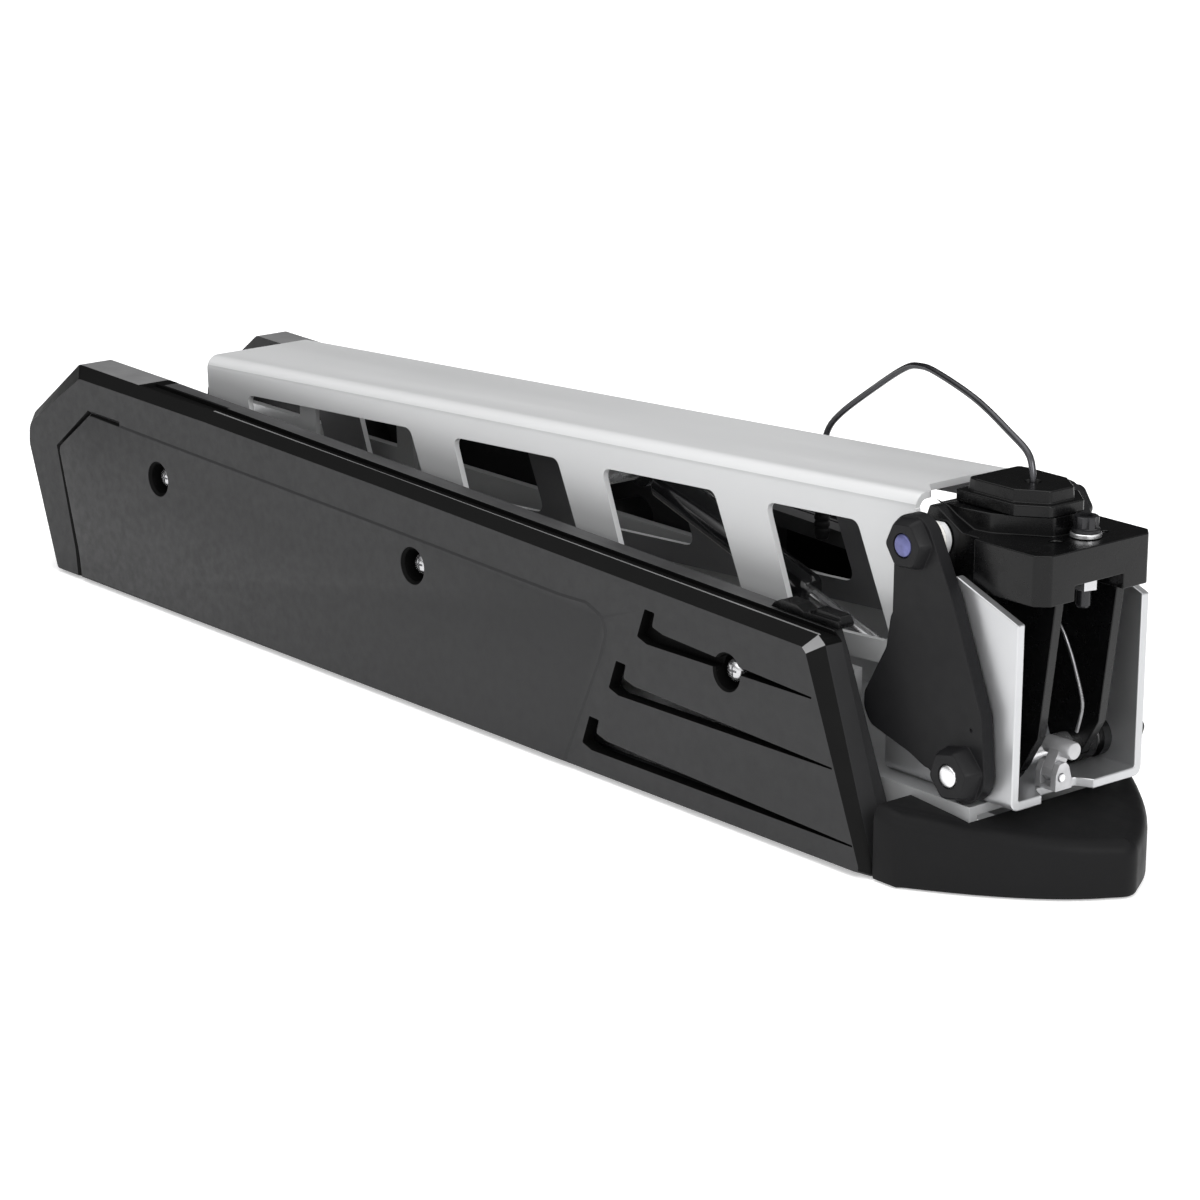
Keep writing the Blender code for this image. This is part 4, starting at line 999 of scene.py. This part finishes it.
def nose_plan(shrink):
    """Outline of the nose from above; its side solves 0.63 s^2 + 0.3 s = reach."""
    side = []
    for i in range(NOSE_POINTS):
        x = NOSE_WIDEST_X + NOSE_SPAN * math.sin(0.5 * math.pi * i / (NOSE_POINTS - 1))
        reach = (NOSE_TIP_X - x) / NOSE_REACH
        side.append((x, NOSE_HALF_WIDTH * (-0.3 + math.sqrt(0.09 + 2.52 * reach)) / 1.26))
    half = [(NOSE_REAR_X, side[0][1])] + side + [(37.6, 5.6), (38.7, 3.0), (NOSE_TIP_X, 0.0)]
    half = [(max(x - shrink * (1 if x > NOSE_WIDEST_X else 0), NOSE_REAR_X), max(y - shrink, 0.0))
            for x, y in half]
    return [(x, -y) for x, y in half] + [(x, y) for x, y in reversed(half[:-1])]


def nose_top(x, drop):
    return NOSE_HEIGHT - NOSE_FALL * max(0.0, (x - NOSE_REAR_X) / 100.0) ** 1.2 - drop


def make_nose():
    rings = [[at(x, y, level) for x, y in nose_plan(shrink)] for shrink, level in NOSE_FOOT]
    rings += [[at(x, y, nose_top(x, drop)) for x, y in nose_plan(shrink)]
              for shrink, drop in NOSE_SHOULDER]
    body = loft("bow_bumper", rings, "rubber")
    cut(body, block("slot", (-80, -19.7), (-56.8, 56.8), (-5, 60)))
    tidy(body)
    soften(body, 0.6, 3, 40)
    place(body, "base", "black_rubber", "nose_bumper")


# ---------------------------------------------------------------- release wire and cable
WIRE_X = -38.0
WIRE_R = 1.8
WIRE_ROUTE = ((WIRE_X, 0, 182), (WIRE_X, 0, 194), (WIRE_X - 1, 0.5, 204), (-44, 2, 212),
              (-58, 4, 219), (-89, 11, 229.5), (-125, 19, 236), (-143, 24, 236), (-160, 29, 231),
              (-196, 40, 211), (-226, 47.5, 192), (-238, 49.5, 180), (-241, 49.5, 166),
              (-241, 49.5, 156))
CABLE_R = 0.9
CABLE_ROUTE = ((WIRE_X, 0, 176.3), (WIRE_X, 0, 166), (WIRE_X, 0, 152), (WIRE_X + 0.5, 0, 144),
               (-29, 0.5, 136.5), (-18, 1, 130), (-10, 1, 118), (-5, 1, 107), (-1.2, 1, 97),
               (0.2, 1, 90.5), (-0.8, 1, 84), (-3, 1, 76))
GRIP_END_Z = 110
GRIP_R = 4.4
GRIP_GROOVE_R = 3.9
GRIP_GROOVES = 7
GRIP_PITCH = 4


def make_release():
    wire = tube("release_wire", WIRE_ROUTE, WIRE_R, "wire")
    place(wire, "release", "dark_steel", "pull_wire")
    x, y, z = WIRE_ROUTE[-1]
    profile = [(0, 2.4), (0.6, 3.2), (4, 4.3)]
    for k in range(GRIP_GROOVES):
        step = 6 + k * GRIP_PITCH
        profile += [(step, GRIP_R), (step + 0.6, GRIP_GROOVE_R), (step + 1.6, GRIP_GROOVE_R),
                    (step + 2.2, GRIP_R)]
    profile += [(34, GRIP_R), (37, 3.6), (38, 2.4)]
    grip = turned("wire_grip", (x, y, z - 0.3), (x, y, GRIP_END_Z), profile, "rubber", 32)
    soften(grip, 0.2, 2)
    place(grip, "release", "black_rubber", "pull_grip")
    cable = tube("thin_cable", CABLE_ROUTE, CABLE_R, "cable", 2.0, 3)
    place(cable, "release", "dark_steel", "release_cable")


# ---------------------------------------------------------------- latch
LATCH_PIN = (-14.5, 56.5)                 # (y, z)
LATCH_PIN_R = 2.3
LATCH_TIP = (-8.0, 69.5)                  # (y, z)
LATCH_X = (-12.0, 2.0)
LATCH_FLOOR = 49.6
LATCH_ARM_HALF = 3.2
FOOT_WALL = 3.5
FOOT_RADII = [0.3, 0.3, 2, 2, 2, 2, 2]
KNUCKLE_PROFILE = [(0, 3.6), (0.7, 4.6), (17.7, 4.7), (18.6, 4.2)]


def make_latch():
    y, z = LATCH_PIN
    tip_y, tip_z = LATCH_TIP
    rear_x, front_x = LATCH_X
    floor = LATCH_FLOOR
    outline = [(y - 3.8, floor), (y + 8.0, floor), (y + 7.6, 55), (y + 5.5, 61.5), (y + 3.2, 64),
               (y - 1.4, 63.4), (y - 3.8, 58)]
    foot = prism_x("latch_base", rounded(outline, FOOT_RADII, 3), rear_x, front_x, "latch")
    cut(foot, block("gap", (rear_x + FOOT_WALL, front_x - FOOT_WALL), (-40, 0), (floor + 1.9, 70)),
        rod("pin", (-30, y, z), (20, y, z), LATCH_PIN_R, sides=32))
    soften(foot, 0.6, 3)
    place(foot, "base", "steel", "latch_foot")
    arm = [(y, z - 3.6), (y + 3.0, z - 2.4), (tip_y + 4, tip_z - 2), (tip_y + 3.6, tip_z + 2),
           (tip_y, tip_z + 4), (tip_y - 3.6, tip_z + 1.6), (y - 2.8, z + 4), (y - 3.4, z)]
    middle = (rear_x + front_x) / 2
    lever = prism_x("latch_arm", rounded(arm, 1.2, 3), middle - LATCH_ARM_HALF,
                    middle + LATCH_ARM_HALF, "latch")
    add(lever, turned("knuckle", (rear_x - 2, tip_y, tip_z), (front_x + 2.6, tip_y, tip_z),
                      KNUCKLE_PROFILE))
    cut(lever, rod("pin", (-30, y, z), (20, y, z), LATCH_PIN_R, sides=32))
    soften(lever, 0.4, 3)
    place(lever, "latch", "steel", "latch_lever")


# ---------------------------------------------------------------- corner blocks
HUMPS = [(-154, 120.7), (-104, 119.3), (-102.6, 121.6), (-106, 125.4), (-123, 126.0),
         (-128.5, 122.4), (-135, 125.6), (-146, 126.2), (-151.5, 123.6)]
HUMPS_RADII = [0.5, 0.5, 1.5, 2.5, 3, 3, 4, 4, 3]
HUMPS_Y = (58.5, 69.0)
SHELF_X = (-124.5, -100)
SHELF_Y = (66.4, 72)
SHELF_Z = (123.4, 130)


def make_corner_blocks():
    """Two-humped guide block on the top edge of each cover, at its bow end."""
    outline = rounded(HUMPS, HUMPS_RADII, 4)
    for word, side in SIDES:
        piece = prism_y(f"guide_humps_{word}", outline, side * HUMPS_Y[0], side * HUMPS_Y[1],
                        "moulded")
        cut(piece, block("shelf", SHELF_X, (side * SHELF_Y[0], side * SHELF_Y[1]), SHELF_Z))
        tidy(piece)
        soften(piece, 0.6, 3)
        place(piece, "base", "satin_black", f"corner_block_{word}")


# ---------------------------------------------------------------- gas spring
SPRING_REAR = (-330.0, 148.0)             # the two pins as (x, z)
SPRING_FRONT = (-72.0, 66.0)
TUBE_PROFILE = [(0, 6.4), (0.8, 8.6), (3, 10), (124, 10), (126, 9.4), (128, 7.6)]
EYE_R = 9.0
NECK_R = 5.0
EYE_BORE_R = 4.3
ROD_BORE_R = 4.3
ROD_R = 4.0
SADDLE_R = 10.0
SADDLE_BORE_R = 7.0


def make_gas_spring():
    """Tube with an eye on the rear pin; rod whose saddle only rests on the front pin."""
    rear, front = Vector(SPRING_REAR), Vector(SPRING_FRONT)
    direction = (front - rear).normalized()
    length = (front - rear).length

    def spot(distance):
        p = rear + direction * distance
        return (p.x, 0.0, p.y)

    body = turned("spring_tube", spot(12), spot(140), TUBE_PROFILE, "spring")
    add(body, rod("eye", (rear.x, -6, rear.y), (rear.x, 6, rear.y), EYE_R),
        rod("neck", spot(4), spot(20), NECK_R))
    cut(body, rod("pin", (rear.x, -20, rear.y), (rear.x, 20, rear.y), EYE_BORE_R),
        rod("bore", spot(16), spot(160), ROD_BORE_R))
    soften(body, 0.3, 2)
    place(body, "spring_cylinder", "dark_steel", "gas_spring_cylinder")
    shaft = rod("spring_shaft", spot(127.5), spot(length - 5), ROD_R, "steel")
    add(shaft, rod("saddle", (front.x, -5, front.y), (front.x, 5, front.y), SADDLE_R))
    cut(shaft, rod("saddle_bore", (front.x, -20, front.y), (front.x, 20, front.y), SADDLE_BORE_R),
        block("mouth", (front.x - 12, front.x + 12), (-60, 60), (front.y - 12, front.y - 1)))
    soften(shaft, 0.3, 2)
    place(shaft, "spring_rod", "steel", "gas_spring_rod")


# ---------------------------------------------------------------- CAD pieces that stay
KEPT = {                                  # material and width of the softened edges in mm
    "base_extrusion": ("extrusion", 0.5), "cross_brace": ("extrusion", 0.4),
    "rear_end_cap": ("moulded", 0.0), "bracket_bolt_1": ("steel", 0.3),
    "bracket_bolt_2": ("steel", 0.3), "bracket_bolt_3": ("steel", 0.3),
    "bracket_bolt_4": ("steel", 0.3), "track_liner_port": ("nylon", 0.3),
    "track_liner_starboard": ("nylon", 0.3), "lower_bush_port": ("moulded", 0.3),
    "lower_bush_starboard": ("moulded", 0.3), "lower_spacer_port": ("steel", 0.3),
    "lower_spacer_starboard": ("steel", 0.3), "upper_spacer_port": ("nylon", 0.3),
    "upper_spacer_starboard": ("nylon", 0.3), "latch_pin": ("steel", 0.2),
    "gas_spring_clevis": ("steel", 0.3), "gas_spring_front_pin": ("steel", 0.2),
    "gas_spring_rear_pin": ("steel", 0.2), "cable_ferrule": ("steel", 0.2),
    "roller_axle": ("steel", 0.2), "axle_sleeve": ("steel", 0.2), "roller_port": ("nylon", 0.4),
    "roller_starboard": ("nylon", 0.4),
}
SEAM_DEG = 1                              # edges flatter than this are only seams of the mesh


def dress_kept():
    for name, (mat, width) in KEPT.items():
        obj = NODES[name]
        obj.data.materials.clear()
        obj.data.materials.append(MATS[mat])
        flat = obj.modifiers.new("flat", "DECIMATE")
        flat.decimate_type = "DISSOLVE"
        flat.angle_limit = math.radians(SEAM_DEG)
        if width:
            soften(obj, width, 2, 32)


make_camera()
make_sky()
make_soft_boxes()
make_floor()
for side_word, side_sign in SIDES:
    make_cover(side_word, side_sign)
make_channel()
make_bracket()
make_links()
make_pins()
make_tower()
make_guide()
make_tower_bolt()
make_nose()
make_release()
make_latch()
make_corner_blocks()
make_gas_spring()
dress_kept()
